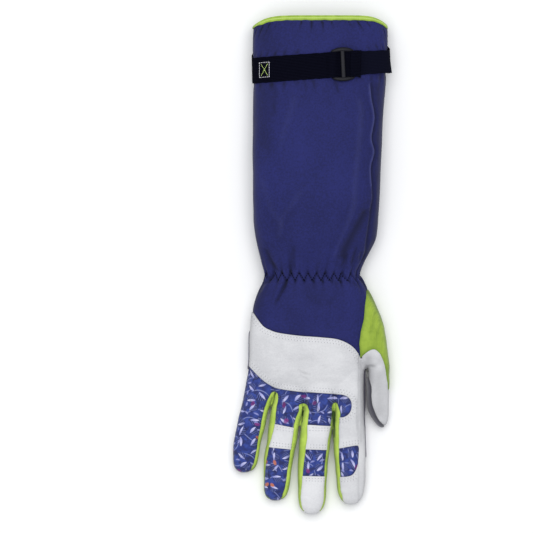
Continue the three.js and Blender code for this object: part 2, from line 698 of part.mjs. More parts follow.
// Hang loop: a folded tape on the palm side, from the strap to the edge of the opening
const LOOP = { left: 20, right: 37, low: 204.2, high: 219, layer: 0.65, foot: 0.9, between: 0.2 };
function hangLoop() {
  const { left, right, low, high, layer, foot, between } = LOOP;
  const top = foot + 2 * layer + between;
  const shape = new THREE.Shape();
  shape.moveTo(low, foot).lineTo(high, foot);
  shape.absarc(high, (foot + top) / 2, (top - foot) / 2, -Math.PI / 2, Math.PI / 2);
  shape.lineTo(low, top).lineTo(low, top - layer).lineTo(high, top - layer);
  shape.lineTo(high, foot + layer).lineTo(low, foot + layer);
  return drawnAcross(shape, left, right);
}
pieces.set("hang_loop", hangLoop());

// Materials, by what each piece is made of
const LOOKS = {
  navy: { color: "#2b2f63", roughness: 0.75 },
  leather: { color: "#d9dadb", roughness: 0.6 },
  print: { color: "#3a4684", roughness: 0.85 },
  green: { color: "#9cc53c", roughness: 0.7 },
  grey: { color: "#6c6880", roughness: 0.8 },
  black: { color: "#0c0e18", roughness: 0.8 },
  plastic: { color: "#23242c", roughness: 0.45 },
  tape: { color: "#eceaf0", roughness: 0.8 },
};
const MADE_OF = {
  cuff_back: "navy",
  cuff_front: "navy",
  edge_tape: "green",
  strap: "black",
  buckle: "plastic",
  hang_loop: "tape",
  thumb_panel: "green",
  side_strip_little_ring: "green",
  side_strip_ring_middle: "green",
  side_strip_middle_index: "green",
  knuckle_print: "print",
  ring_print: "print",
  middle_print: "print",
  index_print: "print",
  palm_patch: "grey",
  index_side_patch: "grey",
  middle_tip_cap: "grey",
  ring_tip_cap: "grey",
  little_tip_cap: "grey",
  thumb_tip_cap: "grey",
  index_tip_cap: "black",
};
const finish = (look) => new THREE.MeshStandardMaterial({ metalness: 0, ...look });
const materials = Object.fromEntries(
  Object.entries(LOOKS).map(([name, look]) => [name, finish(look)]),
);

function asMesh(name, made) {
  const { vertProperties, triVerts } = made.simplify(DETAIL).getMesh();
  const geometry = new THREE.BufferGeometry();
  geometry.setAttribute("position", new THREE.BufferAttribute(vertProperties, 3));
  geometry.setIndex(new THREE.BufferAttribute(triVerts, 1));
  geometry.computeVertexNormals();
  const node = new THREE.Mesh(geometry, materials[MADE_OF[name] ?? "leather"]);
  node.name = name;
  return node;
}

const glove = new THREE.Group();
for (const [name, made] of pieces) glove.add(asMesh(name, made));

// The buckle lies flat on the cuff where the strap passes through it.
const buckleTurn = turnAt(BUCKLE.x, BUCKLE.y);
const across = onCuff(BUCKLE.y, buckleTurn - 1).sub(onCuff(BUCKLE.y, buckleTurn + 1));
const [head, heel] = [0.5, -0.5].map((end) => onCuff(BUCKLE.y + end * BUCKLE.height, buckleTurn));
const lengthways = head.clone().sub(heel).normalize();
const outward = across.cross(lengthways).normalize();
const lie = new THREE.Matrix4().makeBasis(lengthways.clone().cross(outward), lengthways, outward);
const buckleNode = glove.getObjectByName("buckle");
buckleNode.position.lerpVectors(head, heel, 0.5);
buckleNode.setRotationFromMatrix(lie.multiply(new THREE.Matrix4().makeRotationZ(Math.atan(STRAP.slope))));

export default glove;
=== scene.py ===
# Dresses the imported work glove: sewn skin panels cut from one dense surface, patches, edge tape, strap,
# buckle, hang loop, stitches and their materials. Lengths are millimetres until a mesh is made.
import math

import bmesh
import bpy
import numpy as np
from mathutils import Matrix, Vector
from mathutils.bvhtree import BVHTree
from mathutils.kdtree import KDTree


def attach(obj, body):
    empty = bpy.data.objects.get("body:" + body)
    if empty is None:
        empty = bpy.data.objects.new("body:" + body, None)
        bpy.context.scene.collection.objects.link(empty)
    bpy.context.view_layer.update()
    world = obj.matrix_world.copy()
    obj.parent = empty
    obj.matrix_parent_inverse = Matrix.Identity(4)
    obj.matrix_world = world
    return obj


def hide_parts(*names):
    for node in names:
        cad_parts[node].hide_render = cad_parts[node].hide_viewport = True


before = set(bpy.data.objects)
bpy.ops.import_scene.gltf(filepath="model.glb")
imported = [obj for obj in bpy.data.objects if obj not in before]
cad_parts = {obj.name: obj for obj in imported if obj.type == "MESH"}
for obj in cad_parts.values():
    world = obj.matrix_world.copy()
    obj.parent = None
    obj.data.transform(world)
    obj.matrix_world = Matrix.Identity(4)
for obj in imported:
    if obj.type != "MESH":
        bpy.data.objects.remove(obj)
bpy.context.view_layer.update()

MM = 0.001
FULL_TURN = 2 * np.pi

# The part's driving dimensions
GAP = 0.3
PATCH = 1.3
RISE = PATCH + GAP  # height of the palm, which lies on its patches
ON_FLOOR = 0.15  # height of the lowest cloth, which leaves room for stitches below it
EDGE_Y = 222.9
EDGE_LEFT, EDGE_RIGHT = -52, 65.6
EDGE_DROOP = 9  # how far the opening's edge falls back at its sides
WAIST_Y = -9.5
KNUCKLE_Y = -114

# Cross-sections: rounded above, flattened below
SQUARENESS = 2.6
WIDEST = 0.42
FLATNESS = 1.25

# The skin before it is dressed
BEYOND = 12  # how far the trunk runs on past the opening before it is cut to its edge
SWELL = 0.3  # makes up for what smoothing takes away
DIGIT_SWELL = 0.1
TIP_SWELL = 0.4
TIP_BLUNT = 2 / 2.4  # 1 would make each tip an ellipse
VOXEL = 1.3
SMOOTHING_ROUNDS = 7
RING_GAP = 2.0


def table(columns, rows):
    return dict(zip(columns.split(), np.array(rows, float).T))


def digit(tip, rounded, rows):
    """A finger or the thumb: its tip, the length of its rounded end, and its sides and top by y."""
    return {"tip": tip, "round": rounded, **table("y left right top", rows)}


TRUNK = table("y left right top bottom", [
    [EDGE_Y, -52, 64.4, 38, 3.5],
    [210, -52.8, 67.6, 41, 3],
    [197, -53, 67.9, 42, 2.5],
    [182, -52.7, 66.6, 42.4, RISE],
    [165, -52.4, 66, 43.5, RISE],
    [130, -52.7, 63.5, 48, RISE],
    [103, -53.1, 62.4, 49, RISE],
    [66, -53.1, 61, 48, RISE],
    [42, -52.6, 59.7, 45, RISE],
    [25, -50.4, 57.8, 42, 2],
    [13, -48.2, 52.8, 38, 2.6],
    [2, -46, 47, 34.5, 3.4],
    [WAIST_Y, -43.6, 42.8, 31.5, 4.2],
    [-15, -44.6, 46, 32.5, 3.6],
    [-24, -48.4, 49.6, 34, 2.4],
    [-40, -52.9, 50, 35.5, RISE],
    [-60, -54.9, 48.3, 35, RISE],
    [-85, -55.6, 46.9, 32, RISE],
    [-102, -58.2, 46.6, 28.5, RISE],
    [KNUCKLE_Y, -60.4, 46.6, 23, RISE],
])
SIDE_SEAM = table("y z", [[300, 18], [66, 18], [WAIST_Y, 14], [-60, 12], [KNUCKLE_Y, 11], [-300, 9]])
LITTLE = digit(-187.4, 12, [
    [-96, -57.6, -31.4, 24],
    [-118, -61.4, -34.7, 23.5],
    [-131, -64.4, -39.2, 22],
    [-146, -67.9, -42.7, 21],
    [-161, -70.6, -46.2, 19.5],
    [-190, -71.2, -51.2, 16],
])
RING = digit(-212.9, 14, [
    [-96, -36, -5.4, 26],
    [-118, -34.3, -6, 26],
    [-128, -36.4, -6.4, 25],
    [-141, -38.1, -10.9, 24],
    [-158, -40.1, -13.6, 22.5],
    [-178, -43.2, -17.6, 20.5],
    [-216, -43.4, -22.6, 16.5],
])
MIDDLE = digit(-224.3, 13.5, [
    [-96, -9, 22.5, 27],
    [-118, -7.7, 21, 27],
    [-129, -7.4, 20, 26.5],
    [-142, -9.6, 18.8, 25.5],
    [-160, -11.3, 16.4, 24],
    [-182, -12.5, 13.9, 22],
    [-228, -12, 11.2, 17],
])
INDEX = digit(-215.6, 17.5, [
    [-96, 18, 46.7, 26],
    [-118, 19, 46.6, 26],
    [-133, 20.3, 46.7, 25],
    [-150, 19.3, 47.4, 24],
    [-170, 20, 48.2, 22.5],
    [-186, 21.6, 48.1, 21],
    [-220, 23.8, 46.4, 17],
])
THUMB = digit(-145, 11, [
    [-12, 18, 40, 22],
    [-23, 20, 50.9, 25],
    [-40, 25, 59.2, 27],
    [-53, 28, 64.2, 27.5],
    [-67, 31, 66.8, 27],
    [-80, 35, 68.4, 26],
    [-87, 39, 69.4, 25],
    [-94, 50.9, 69.8, 24],
    [-110, 50.9, 69.8, 22.5],
    [-126, 51.2, 69.2, 20],
    [-146, 59.2, 69, 15],
])


def at(rows, y, column):
    """Value of a column at any y, eased from row to row without running past either."""
    ys, values = rows["y"], rows[column]
    slope = np.diff(values) / np.diff(ys)
    both = slope[:-1] * slope[1:] > 0
    total = np.where(both, slope[:-1] + slope[1:], 1)
    inner = np.where(both, 2 * slope[:-1] * slope[1:] / total, 0)
    start = np.concatenate([slope[:1], inner])
    end = np.concatenate([inner, slope[-1:]])
    y = np.clip(np.asarray(y, float), ys[-1], ys[0])
    i = np.clip(np.searchsorted(-ys, -y, side="right") - 1, 0, len(ys) - 2)
    span = ys[i + 1] - ys[i]
    t = (y - ys[i]) / span
    return (
        (2 * t**3 - 3 * t**2 + 1) * values[i]
        + (t**3 - 2 * t**2 + t) * span * start[i]
        + (3 * t**2 - 2 * t**3) * values[i + 1]
        + (t**3 - t**2) * span * end[i]
    )


def smoothstep(x, low, high):
    t = np.clip((x - low) / (high - low), 0, 1)
    return t * t * (3 - 2 * t)


def signed_power(value, power):
    return np.sign(value) * np.abs(value) ** power


def run_along(x, y):
    """Length of a line up to each of its points."""
    return np.concatenate([[0], np.cumsum(np.hypot(np.diff(x), np.diff(y)))])


def size_at(rows, y):
    """Sides of the trunk's cross-section at y, or of a digit's, which shares the trunk's bottom."""
    sides = ("left", "right", "top", "bottom")
    return {side: at(rows if side in rows else TRUNK, y, side) for side in sides}


def centre(size):
    """Middle of a cross-section, and the level where it is widest."""
    level = size["bottom"] + (size["top"] - size["bottom"]) * WIDEST
    return (size["left"] + size["right"]) / 2, level


def section(size, angle, grow=0.0, shrink=1.0):
    """Points of a rounded, flat-bottomed cross-section. shrink closes a tip."""
    middle, level = centre(size)
    half = ((size["right"] - size["left"]) / 2 + grow) * shrink
    up = (size["top"] - level + grow) * shrink
    down = (level - size["bottom"] + grow) * math.sqrt(shrink)
    across = signed_power(np.cos(angle), 2 / SQUARENESS)
    along = signed_power(np.sin(angle), 2 / SQUARENESS)
    height = np.where(along > 0, along * up, -np.minimum(1, -along * FLATNESS) * down)
    return middle + half * across, level + height


def outline(size, turns, grow=0.0, shrink=1.0):
    """The cross-section at shares of the way round its outline, from the thumb side over the back."""
    x, z = section(size, np.linspace(0, FULL_TURN, 721), grow, shrink)
    run = run_along(x, z)
    way = np.mod(turns, 1) * run[-1]
    return np.interp(way, run, x), np.interp(way, run, z)


def grid_faces(rows, columns, closed=True):
    """Quads between rows of points, each row a loop. The last row may join the first."""
    r, c = np.meshgrid(np.arange(rows if closed else rows - 1), np.arange(columns), indexing="ij")
    down, right = (r + 1) % rows, (c + 1) % columns
    quads = [r * columns + c, r * columns + right, down * columns + right, down * columns + c]
    return np.stack(quads, -1).reshape(-1, 4).tolist()


def joined(parts):
    """Points and faces of several meshes, as one."""
    faces, base = [], 0
    for points, some in parts:
        faces += [[v + base for v in face] for face in some]
        base += len(points)
    return np.concatenate([points for points, _ in parts]), faces


def loft(rings):
    """Closed surface through rings of points, from high y to low y, with flat ends."""
    rings = np.array(rings)
    count, sides = rings.shape[:2]
    points = np.concatenate([rings.reshape(-1, 3), rings[[0, -1]].mean(1)])
    last = (count - 1) * sides
    fans = [[count * sides, (i + 1) % sides, i] for i in range(sides)]
    fans += [[count * sides + 1, last + i, last + (i + 1) % sides] for i in range(sides)]
    return points, grid_faces(count, sides, closed=False) + fans


def ring(rows, y, sides, grow, shrink=1.0):
    x, z = outline(size_at(rows, y), np.arange(sides) / sides, grow, shrink)
    return np.stack([x, np.full(sides, float(y)), z], -1)


def trunk_rings(sides=220):
    levels = [*np.arange(EDGE_Y + BEYOND, KNUCKLE_Y, -RING_GAP), KNUCKLE_Y]
    return [ring(TRUNK, y, sides, SWELL) for y in levels] + [ring(TRUNK, KNUCKLE_Y - 5, sides, -5)]


def digit_rings(rows, sides=96):
    shaft_end = rows["tip"] + rows["round"]
    rings = [ring(rows, y, sides, DIGIT_SWELL) for y in np.arange(rows["y"][0], shaft_end, -RING_GAP)]
    for turn in np.linspace(0, 0.97, 12) * np.pi / 2:
        y = shaft_end - (rows["round"] + TIP_SWELL) * math.sin(turn) ** TIP_BLUNT
        rings.append(ring(rows, y, sides, DIGIT_SWELL, math.cos(turn) ** TIP_BLUNT))
    return rings


def linked(name, data):
    """An object of some data, put in the scene."""
    made = bpy.data.objects.new(name, data)
    bpy.context.scene.collection.objects.link(made)
    return made


def new_object(name, points, faces):
    mesh = bpy.data.meshes.new(name)
    mesh.from_pydata((np.asarray(points) * MM).tolist(), [], faces)
    return linked(name, mesh)


def stretch(y):
    """The fingers are spread across while the skin is fused, so that the gaps between them stay open."""
    return 1 + 0.75 * (1 - smoothstep(y, -112, -70))


def fused(lofts):
    """One skin round overlapping closed forms, as points and quads."""
    points, faces = joined(lofts)
    points[:, 0] *= stretch(points[:, 1])
    source = new_object("skin_source", points, faces)
    remesh = source.modifiers.new("remesh", "REMESH")
    remesh.mode = "VOXEL"
    remesh.voxel_size = VOXEL * MM
    mesh = source.evaluated_get(bpy.context.evaluated_depsgraph_get()).to_mesh()
    co = np.empty(len(mesh.vertices) * 3)
    mesh.vertices.foreach_get("co", co)
    corners = np.empty(len(mesh.loops), int)
    mesh.loops.foreach_get("vertex_index", corners)
    co = co.reshape(-1, 3) / MM
    co[:, 0] /= stretch(co[:, 1])
    bpy.data.objects.remove(source)
    return co, corners.reshape(-1, 4)


def edges_of(faces):
    """The sides of each face, in its own direction."""
    corners = faces.shape[1]
    return np.concatenate([faces[:, [k, (k + 1) % corners]] for k in range(corners)])


def unique_edges(faces):
    return np.unique(np.sort(edges_of(faces), 1), axis=0)


def summed(index, values, count):
    """Sums of the rows of values that share an index."""
    return np.stack([np.bincount(index, values[:, axis], count) for axis in range(3)], 1)


def relaxed(co, edges):
    """Smooths without shrinking: each round moves points in towards their neighbours and out again."""
    a, b = edges.T
    neighbours = np.bincount(edges.ravel(), minlength=len(co))[:, None]
    for step in [0.5, -0.52] * SMOOTHING_ROUNDS:
        total = summed(a, co[b], len(co)) + summed(b, co[a], len(co))
        co = co + step * (total / np.maximum(neighbours, 1) - co)
    return co


def split_quads(co, quads):
    """Triangles, each quad cut along its shorter diagonal."""
    a, b, c, d = (co[quads[:, k]] for k in range(4))
    short = np.linalg.norm(a - c, axis=1) <= np.linalg.norm(b - d, axis=1)
    first = np.where(short[:, None], quads[:, [0, 1, 2]], quads[:, [0, 1, 3]])
    second = np.where(short[:, None], quads[:, [0, 2, 3]], quads[:, [1, 2, 3]])
    return np.concatenate([first, second])


def point_normals(co, faces):
    a, b, c = (co[faces[:, k]] for k in range(3))
    total = sum(summed(faces[:, k], np.cross(b - a, c - a), len(co)) for k in range(3))
    return total / np.maximum(np.linalg.norm(total, axis=1, keepdims=True), 1e-12)


def split_marked(faces, pairs, start):
    """Splits triangles at new points, numbered from start, on some edges given as sorted pairs."""
    size = int(faces.max()) + 1
    keys = pairs[:, 0] * size + pairs[:, 1]
    found = np.full(faces.shape, -1)
    for k in range(3):
        edge = faces[:, [k, (k + 1) % 3]]
        key = edge.min(1) * size + edge.max(1)
        spot = np.clip(np.searchsorted(keys, key), 0, len(keys) - 1)
        hit = keys[spot] == key
        found[hit, k] = start + spot[hit]
    marks = (found >= 0).sum(1)
    out = [faces[marks == 0]]

    def add(chosen, order, shapes):
        """Adds triangles by their corners a, b, c and the new points p on ab, q on bc, r on ca."""
        spots = dict(zip("abcpqr", [*faces[chosen][:, order].T, *found[chosen][:, order].T]))
        out.extend(np.stack([spots[corner] for corner in shape], 1) for shape in shapes)

    for k in range(3):
        order = [k, (k + 1) % 3, (k + 2) % 3]
        add((marks == 1) & (found[:, k] >= 0), order, ("apc", "pbc"))
        add((marks == 2) & (found[:, k] < 0), order, ("qcr", "abq", "aqr"))
    add(marks == 3, [0, 1, 2], ("apr", "pbq", "rqc", "pqr"))
    return np.concatenate(out)


class Skin:
    """Points with their normals and extra values, which are carried along when an edge is split."""

    def __init__(self, co, rest, normal, extra):
        self.co, self.rest, self.normal, self.extra = co, rest, normal, extra

    def copied(self):
        return Skin(self.co.copy(), self.rest, self.normal.copy(), self.extra)

    def refine(self, chosen):
        """Splits every edge of the chosen triangles at its middle."""
        pairs = unique_edges(self.rest[chosen])
        self.rest = self.split(self.rest, pairs, np.full(len(pairs), 0.5))

    def split(self, faces, pairs, share):
        """Puts a point on each edge, its share of the way along, and splits the triangles there."""
        start, (a, b) = len(self.co), pairs.T

        def grown(values, unit=False):
            made = values[a] * (1 - share[:, None]) + values[b] * share[:, None]
            if unit:
                made /= np.linalg.norm(made, axis=1, keepdims=True)
            return np.concatenate([values, made])

        self.co, self.normal, self.extra = grown(self.co), grown(self.normal, True), grown(self.extra)
        return split_marked(faces, pairs, start)

    def cut(self, faces, region, snap=0.32, step=0.02):
        """Triangles cut along a region's edge, its signed distance 0: those inside, and the rest."""
        used = np.unique(faces)
        value = np.full(len(self.co), np.inf)
        value[used] = region(self.co[used])
        near = used[np.abs(value[used]) < snap]
        if len(near):
            here = self.co[near]
            slope = np.stack([(region(here + step * axis) - value[near]) / step for axis in np.eye(3)], 1)
            slope -= self.normal[near] * (slope * self.normal[near]).sum(1, keepdims=True)
            move = -value[near] / np.maximum((slope**2).sum(1), 0.25)
            self.co[near] += slope * move[:, None]
            value[near] = 0
        pairs = edges_of(faces)
        pairs = pairs[value[pairs[:, 0]] * value[pairs[:, 1]] < 0]
        if len(pairs):
            pairs = np.unique(np.sort(pairs, 1), axis=0)
            a, b = value[pairs].T
            faces = self.split(faces, pairs, a / (a - b))
            value = np.concatenate([value, np.zeros(len(pairs))])
        some = value[faces]
        deepest = np.take_along_axis(some, np.abs(some).argmax(1)[:, None], 1)[:, 0]
        inside = deepest < 0
        flat = np.abs(deepest) < 1e-9
        if flat.any():
            inside[flat] = region(self.co[faces[flat]].mean(1)) < 0
        return faces[inside], faces[~inside]


def line_distance(p, line):
    """How far points in plan are from a line through several points."""
    line = np.array(line, float)
    best = np.full(len(p), np.inf)
    for a, along in zip(line, np.diff(line, axis=0)):
        t = np.clip(((p - a) @ along) / max(along @ along, 1e-12), 0, 1)
        best = np.minimum(best, ((p - a - t[:, None] * along) ** 2).sum(1))
    return np.sqrt(best)


def polygon(points):
    """Signed distance in plan from a closed outline, below 0 inside."""
    line = np.array([*points, points[0]], float)

    def distance(co):
        p = co[:, :2]
        inside = np.zeros(len(p), bool)
        for a, b in zip(line[:-1], line[1:]):
            spans = (a[1] > p[:, 1]) != (b[1] > p[:, 1])
            with np.errstate(divide="ignore", invalid="ignore"):
                crossing_x = a[0] + (p[:, 1] - a[1]) * (b[0] - a[0]) / (b[1] - a[1])
            inside ^= spans & (p[:, 0] < crossing_x)
        return np.where(inside, -1, 1) * line_distance(p, line)

    return distance


def seam_level(co):
    return np.interp(-co[:, 1], -SIDE_SEAM["y"], SIDE_SEAM["z"])


def back(points):
    """What lies inside a plan outline and above the side seam."""
    plan = polygon(points)
    return lambda co: np.maximum(plan(co), seam_level(co) - co[:, 2])


def front(points):
    plan = polygon(points)
    return lambda co: np.maximum(plan(co), co[:, 2] - seam_level(co))


def below(points, level_of):
    """What lies inside a plan outline and under a height, which may vary along Y."""
    plan = polygon(points)
    return lambda co: np.maximum(plan(co), co[:, 2] - level_of(co[:, 1]))


def either(*regions):
    return lambda co: np.minimum.reduce([region(co) for region in regions])


def smooth(points, count=60):
    """Catmull-Rom curve through points, at equal steps of its parameter."""
    points = np.array(points, float)
    last = len(points) - 1
    at_all = np.linspace(0, last, count + 1)
    i = np.minimum(at_all.astype(int), last - 1)
    t = (at_all - i)[:, None]
    p0, p1 = points[np.maximum(i - 1, 0)], points[i]
    p2, p3 = points[i + 1], points[np.minimum(i + 2, last)]
    v0, v1 = (p2 - p0) / 2, (p3 - p1) / 2
    curve = (2 * p1 - 2 * p2 + v0 + v1) * t**3 + (-3 * p1 + 3 * p2 - 2 * v0 - v1) * t**2 + v0 * t + p1
    return curve.tolist()


# Edges of the panels, as in the part
FAR = 90  # beside every outline
KNUCKLE_TOP_EDGE = smooth([
    [-58, -37], [-53.5, -42.8], [-45, -54.5], [-37.8, -59], [-28.8, -61.7], [-10.8, -64.1],
    [7.2, -65.4], [21.6, -67], [30.6, -70.2], [36.9, -74.5], [41.6, -80.6], [44.5, -86],
])
PRINT_TOP_EDGE = smooth([
    [-62, -86], [-56.7, -91.4], [-46.8, -101.8], [-39.2, -107.7], [-30.4, -111.6], [-13, -114.3],
    [4.5, -115.4], [22, -116.7], [28.4, -117.5], [33.3, -120.2], [35.6, -125.2], [35.1, -130.7],
    [32.9, -134.6], [28.4, -137.3], [22, -137.6],
], 80)
INDEX_PRINT_EDGE = smooth([
    [18, -166.4], [24.6, -165.6], [32.9, -164], [40, -162.9], [42.1, -164.5], [42.1, -172],
    [41, -181], [37.2, -188.6], [31.8, -190.9], [25.2, -191.3], [18, -191.4],
])
INDEX_SEAM_X = 41.6
LITTLE_RING_GAP = [[-33.6, -110], [-34.3, -118], [-40, -144], [-42.5, -160], [-46.4, -182], [-47, -230]]
RING_MIDDLE_GAP = [[-7, -110], [-7, -127], [-10, -146], [-14.5, -178], [-16.4, -200], [-16.6, -230]]
MIDDLE_INDEX_GAP = [[20, -110], [20.1, -131], [18.6, -148], [17.6, -185], [17.6, -232]]
RING_GAPS = (LITTLE_RING_GAP, RING_MIDDLE_GAP)
MIDDLE_GAPS = (RING_MIDDLE_GAP, MIDDLE_INDEX_GAP)


def gap_run(line, top, low):
    """The part of a gap's middle line between two levels."""
    xs, ys = np.array(line, float).T
    levels = np.array([top, *ys[(ys < top - 1) & (ys > low + 1)], low])
    return np.column_stack([np.interp(-levels, -ys, xs), levels]).tolist()


def finger_zone(gaps, top, low_left, low_right):
    """A finger's own strip of the back, from the middle of one gap to the middle of the next."""
    return back(gap_run(gaps[0], top, low_left) + gap_run(gaps[1], top, low_right)[::-1])


# Forks of the side strips: the crown's place and size, and each leg's widths at steps down the finger
STRIP_STEPS = [4, 28, 48, 84]
FORKS = {
    "little_ring": {"x": -34.1, "y": -118, "rise": 3.2, "half": 2.6,
                    "outer": [3.8, 3.4, 2.2, 2.8], "inner": [4, 5, 2.4, -0.5]},
    "ring_middle": {"x": -8.1, "y": -128, "rise": 2.8, "half": 3.1,
                    "outer": [4.3, 4.6, 3, 3.4], "inner": [4.9, 6.8, 5, 2.2]},
    "middle_index": {"x": 20.8, "y": -130, "rise": 5.8, "half": 2.0,
                     "outer": [0.5, 2.6, 2, 2], "inner": [5, 5, 3.4, 2.9]},
}
PALM_INSET = 3
PALM_FORK = {"rise": 3.5, "half": 2.3, "outer": [PALM_INSET] * 4, "inner": [PALM_INSET] * 4}


def strip_edge(finger, side, fork_y, widths):
    """A side strip's inner edge down one finger, drawn in round the finger's tip."""
    inward = -1 if side == "right" else 1
    upper = fork_y - np.array([4, 10, 16, 22, 28, 38, 48])
    ys = np.concatenate([upper, np.linspace(fork_y - 58, finger["tip"] + 1, 12)])
    into_tip = np.clip((finger["tip"] + finger["round"] - ys) / finger["round"], 0, 1)
    half = (at(finger, ys, "right") - at(finger, ys, "left")) / 2
    drawn_in = half * (1 - (1 - into_tip ** (2 / TIP_BLUNT)) ** (TIP_BLUNT / 2))
    width = np.interp(fork_y - ys, STRIP_STEPS, widths) * (1 - smoothstep(into_tip, 0.55, 0.98))
    return np.column_stack([at(finger, ys, side) + inward * (width + drawn_in), ys]).tolist()


def side_strip(outer_finger, inner_finger, fork):
    """A side strip runs down one finger, round the fork and up the next, on the back and on the palm."""

    def edge(shape):
        left = strip_edge(outer_finger, "right", fork["y"], shape["outer"])
        right = strip_edge(inner_finger, "left", fork["y"], shape["inner"])
        turns = np.radians(np.arange(-75, 76, 25))
        xs = fork["x"] + shape["half"] * 1.25 * np.sin(turns)
        arch = np.column_stack([xs, fork["y"] + shape["rise"] * np.cos(turns)]).tolist()
        gap = (left[-1][0] + right[-1][0]) / 2
        foot = min(left[-1][1], right[-1][1]) - 4
        start = [[gap - 1, foot], [gap - 1, left[-1][1]]]
        return [*start, *left[::-1], *arch, *right, [gap + 1, right[-1][1]], [gap + 1, foot]]

    return either(back(edge(fork)), front(edge(PALM_FORK)))


THUMB_BACK_EDGE = [
    [FAR, -19.5], [50.5, -19.5], [49.2, -27.5], [47.7, -37], [46.6, -49], [43.8, -60.6], [42.6, -71.4],
    *smooth([
        [43.4, -84.5], [47.3, -80.6], [51.3, -77.7], [54.4, -76.5], [57.4, -76.8], [61.4, -80.6],
        [64.8, -88], [67, -98], [68.9, -113],
    ], 40),
    [FAR, -113],
]
THUMB_FRONT_EDGE = [
    [FAR, -12], [40, -16.5],
    *smooth([
        [11.8, -21.5], [16.2, -32], [22.5, -41], [30.6, -51.8], [38.7, -60], [44, -68], [47.7, -79],
        [50.6, -93], [54, -104], [57, -113],
    ], 40),
    [FAR, -113],
]
CUFF_BACK_END = [[47, -72], [52, -30], [FAR, -19], [FAR, 250], [-FAR, 250]]
KNUCKLE_PRINT_END = [
    [18.6, -145.6], [15, -145.4], [-2, -144.3], [-9.8, -144.6], [-10.4, -147.4], [-15.3, -147.2],
    [-33.3, -143.6], *LITTLE_RING_GAP[2:], [-FAR, -230],
]

# Carved one after another out of the skin, and the palm is what they leave
CARVED = {
    "thumb_panel": either(back(THUMB_BACK_EDGE), front(THUMB_FRONT_EDGE)),
    "side_strip_little_ring": side_strip(LITTLE, RING, FORKS["little_ring"]),
    "side_strip_ring_middle": side_strip(RING, MIDDLE, FORKS["ring_middle"]),
    "side_strip_middle_index": side_strip(MIDDLE, INDEX, FORKS["middle_index"]),
    "cuff_back": back([[-FAR, -37], *KNUCKLE_TOP_EDGE, *CUFF_BACK_END]),
    "knuckle_print": back([[-FAR, -86], *PRINT_TOP_EDGE, *KNUCKLE_PRINT_END]),
    "ring_pad": finger_zone(RING_GAPS, -138, -164, -167.2),
    "ring_print": finger_zone(RING_GAPS, -150, -228, -228),
    "middle_pad": finger_zone(MIDDLE_GAPS, -138, -166.2, -167.2),
    "middle_print": finger_zone(MIDDLE_GAPS, -150, -190.2, -191),
    "middle_tip": finger_zone(MIDDLE_GAPS, -180, -229, -229),
    "index_print": back(INDEX_PRINT_EDGE),
    "index_tip": back([[17.6, -178], [17.6, -232], [INDEX_SEAM_X, -232], [INDEX_SEAM_X, -178]]),
    "knuckle_patch": back([[-FAR, -30], [-FAR, -232], [INDEX_SEAM_X, -232], [INDEX_SEAM_X, -30]]),
    "cuff_front": front([[-FAR, -21.5], [12, -21.5], [40, -16], [FAR, -12], [FAR, 250], [-FAR, 250]]),
}

# Patches and caps sewn onto the outside
BESIDE_THUMB_X = 48.7
BAND_EDGE = [
    [-30, -76.5], [-45, -73], [-57, -58], [-70, -54], [-70, -93.5], [-57, -94.5], [-28, -113.5],
    [29.4, -116.5], [26, -104], [22.6, -90.5], [21.9, -76.5],
]
PATCH_SEAM = [[22.3, -78], [23, -90.5], [26.4, -104], [29.8, -117.5]]
SIDE_PATCH_EDGE = [
    [BESIDE_THUMB_X, -93.5], [46.6, -90], [45, -80], [38, -72.5], [30, -72.5], *PATCH_SEAM, [32.6, -140],
    [36, -174], [BESIDE_THUMB_X, -174],
]
TIP_CAP_HEIGHT = 3.2
ROUND_EDGE = -4
THUMB_CAP_EDGE = [[64, -112], [50.2, -116], [50.2, -160], [62.6, -160], [63, -138]]
THUMB_SIDE_EDGE = [
    [BESIDE_THUMB_X + GAP, -93.5],
    *smooth([
        [49.8, -97], [50.6, -100.4], [52.2, -104.9], [53.6, -110.3], [53.6, -119.3], [54.4, -126],
        [56, -131], [59, -137.8], [62.4, -142.4], [64.8, -144.6],
    ], 32),
    [64, -160], [BESIDE_THUMB_X + GAP, -160],
]


def low_cap(points):
    return below(points, lambda y: TIP_CAP_HEIGHT)


def tip_cap(finger, top, left_inset, right_inset):
    levels = np.array([top, (top + finger["tip"]) / 2, finger["tip"] - 6])
    left = np.column_stack([at(finger, levels, "left") + left_inset, levels])
    right = np.column_stack([at(finger, levels, "right") - right_inset, levels])
    return low_cap([*left, *right[::-1]])


OVERLAID = {
    "palm_patch": below(BAND_EDGE, lambda y: 16.3),
    "index_side_patch": below(SIDE_PATCH_EDGE, lambda y: np.interp(y, [-150, -132, -120], [6.5, 8, 11])),
    "index_tip_cap": tip_cap(INDEX, -174.6, PALM_INSET, ROUND_EDGE),
    "middle_tip_cap": tip_cap(MIDDLE, -188.8, PALM_INSET, PALM_INSET),
    "ring_tip_cap": tip_cap(RING, -177.8, PALM_INSET, PALM_INSET),
    "little_tip_cap": tip_cap(LITTLE, -151.7, ROUND_EDGE, PALM_INSET),
    "thumb_tip_cap": either(low_cap(THUMB_CAP_EDGE), below(THUMB_SIDE_EDGE, lambda y: 30)),
}


def edge_level(x):
    """The cuff opening's edge, which falls back at its two sides, more sharply on the thumb's."""
    reach = np.abs((2 * x - EDGE_RIGHT - EDGE_LEFT) / (EDGE_RIGHT - EDGE_LEFT))
    return EDGE_Y - EDGE_DROOP * np.minimum(1, reach) ** np.where(x > (EDGE_LEFT + EDGE_RIGHT) / 2, 9, 6)


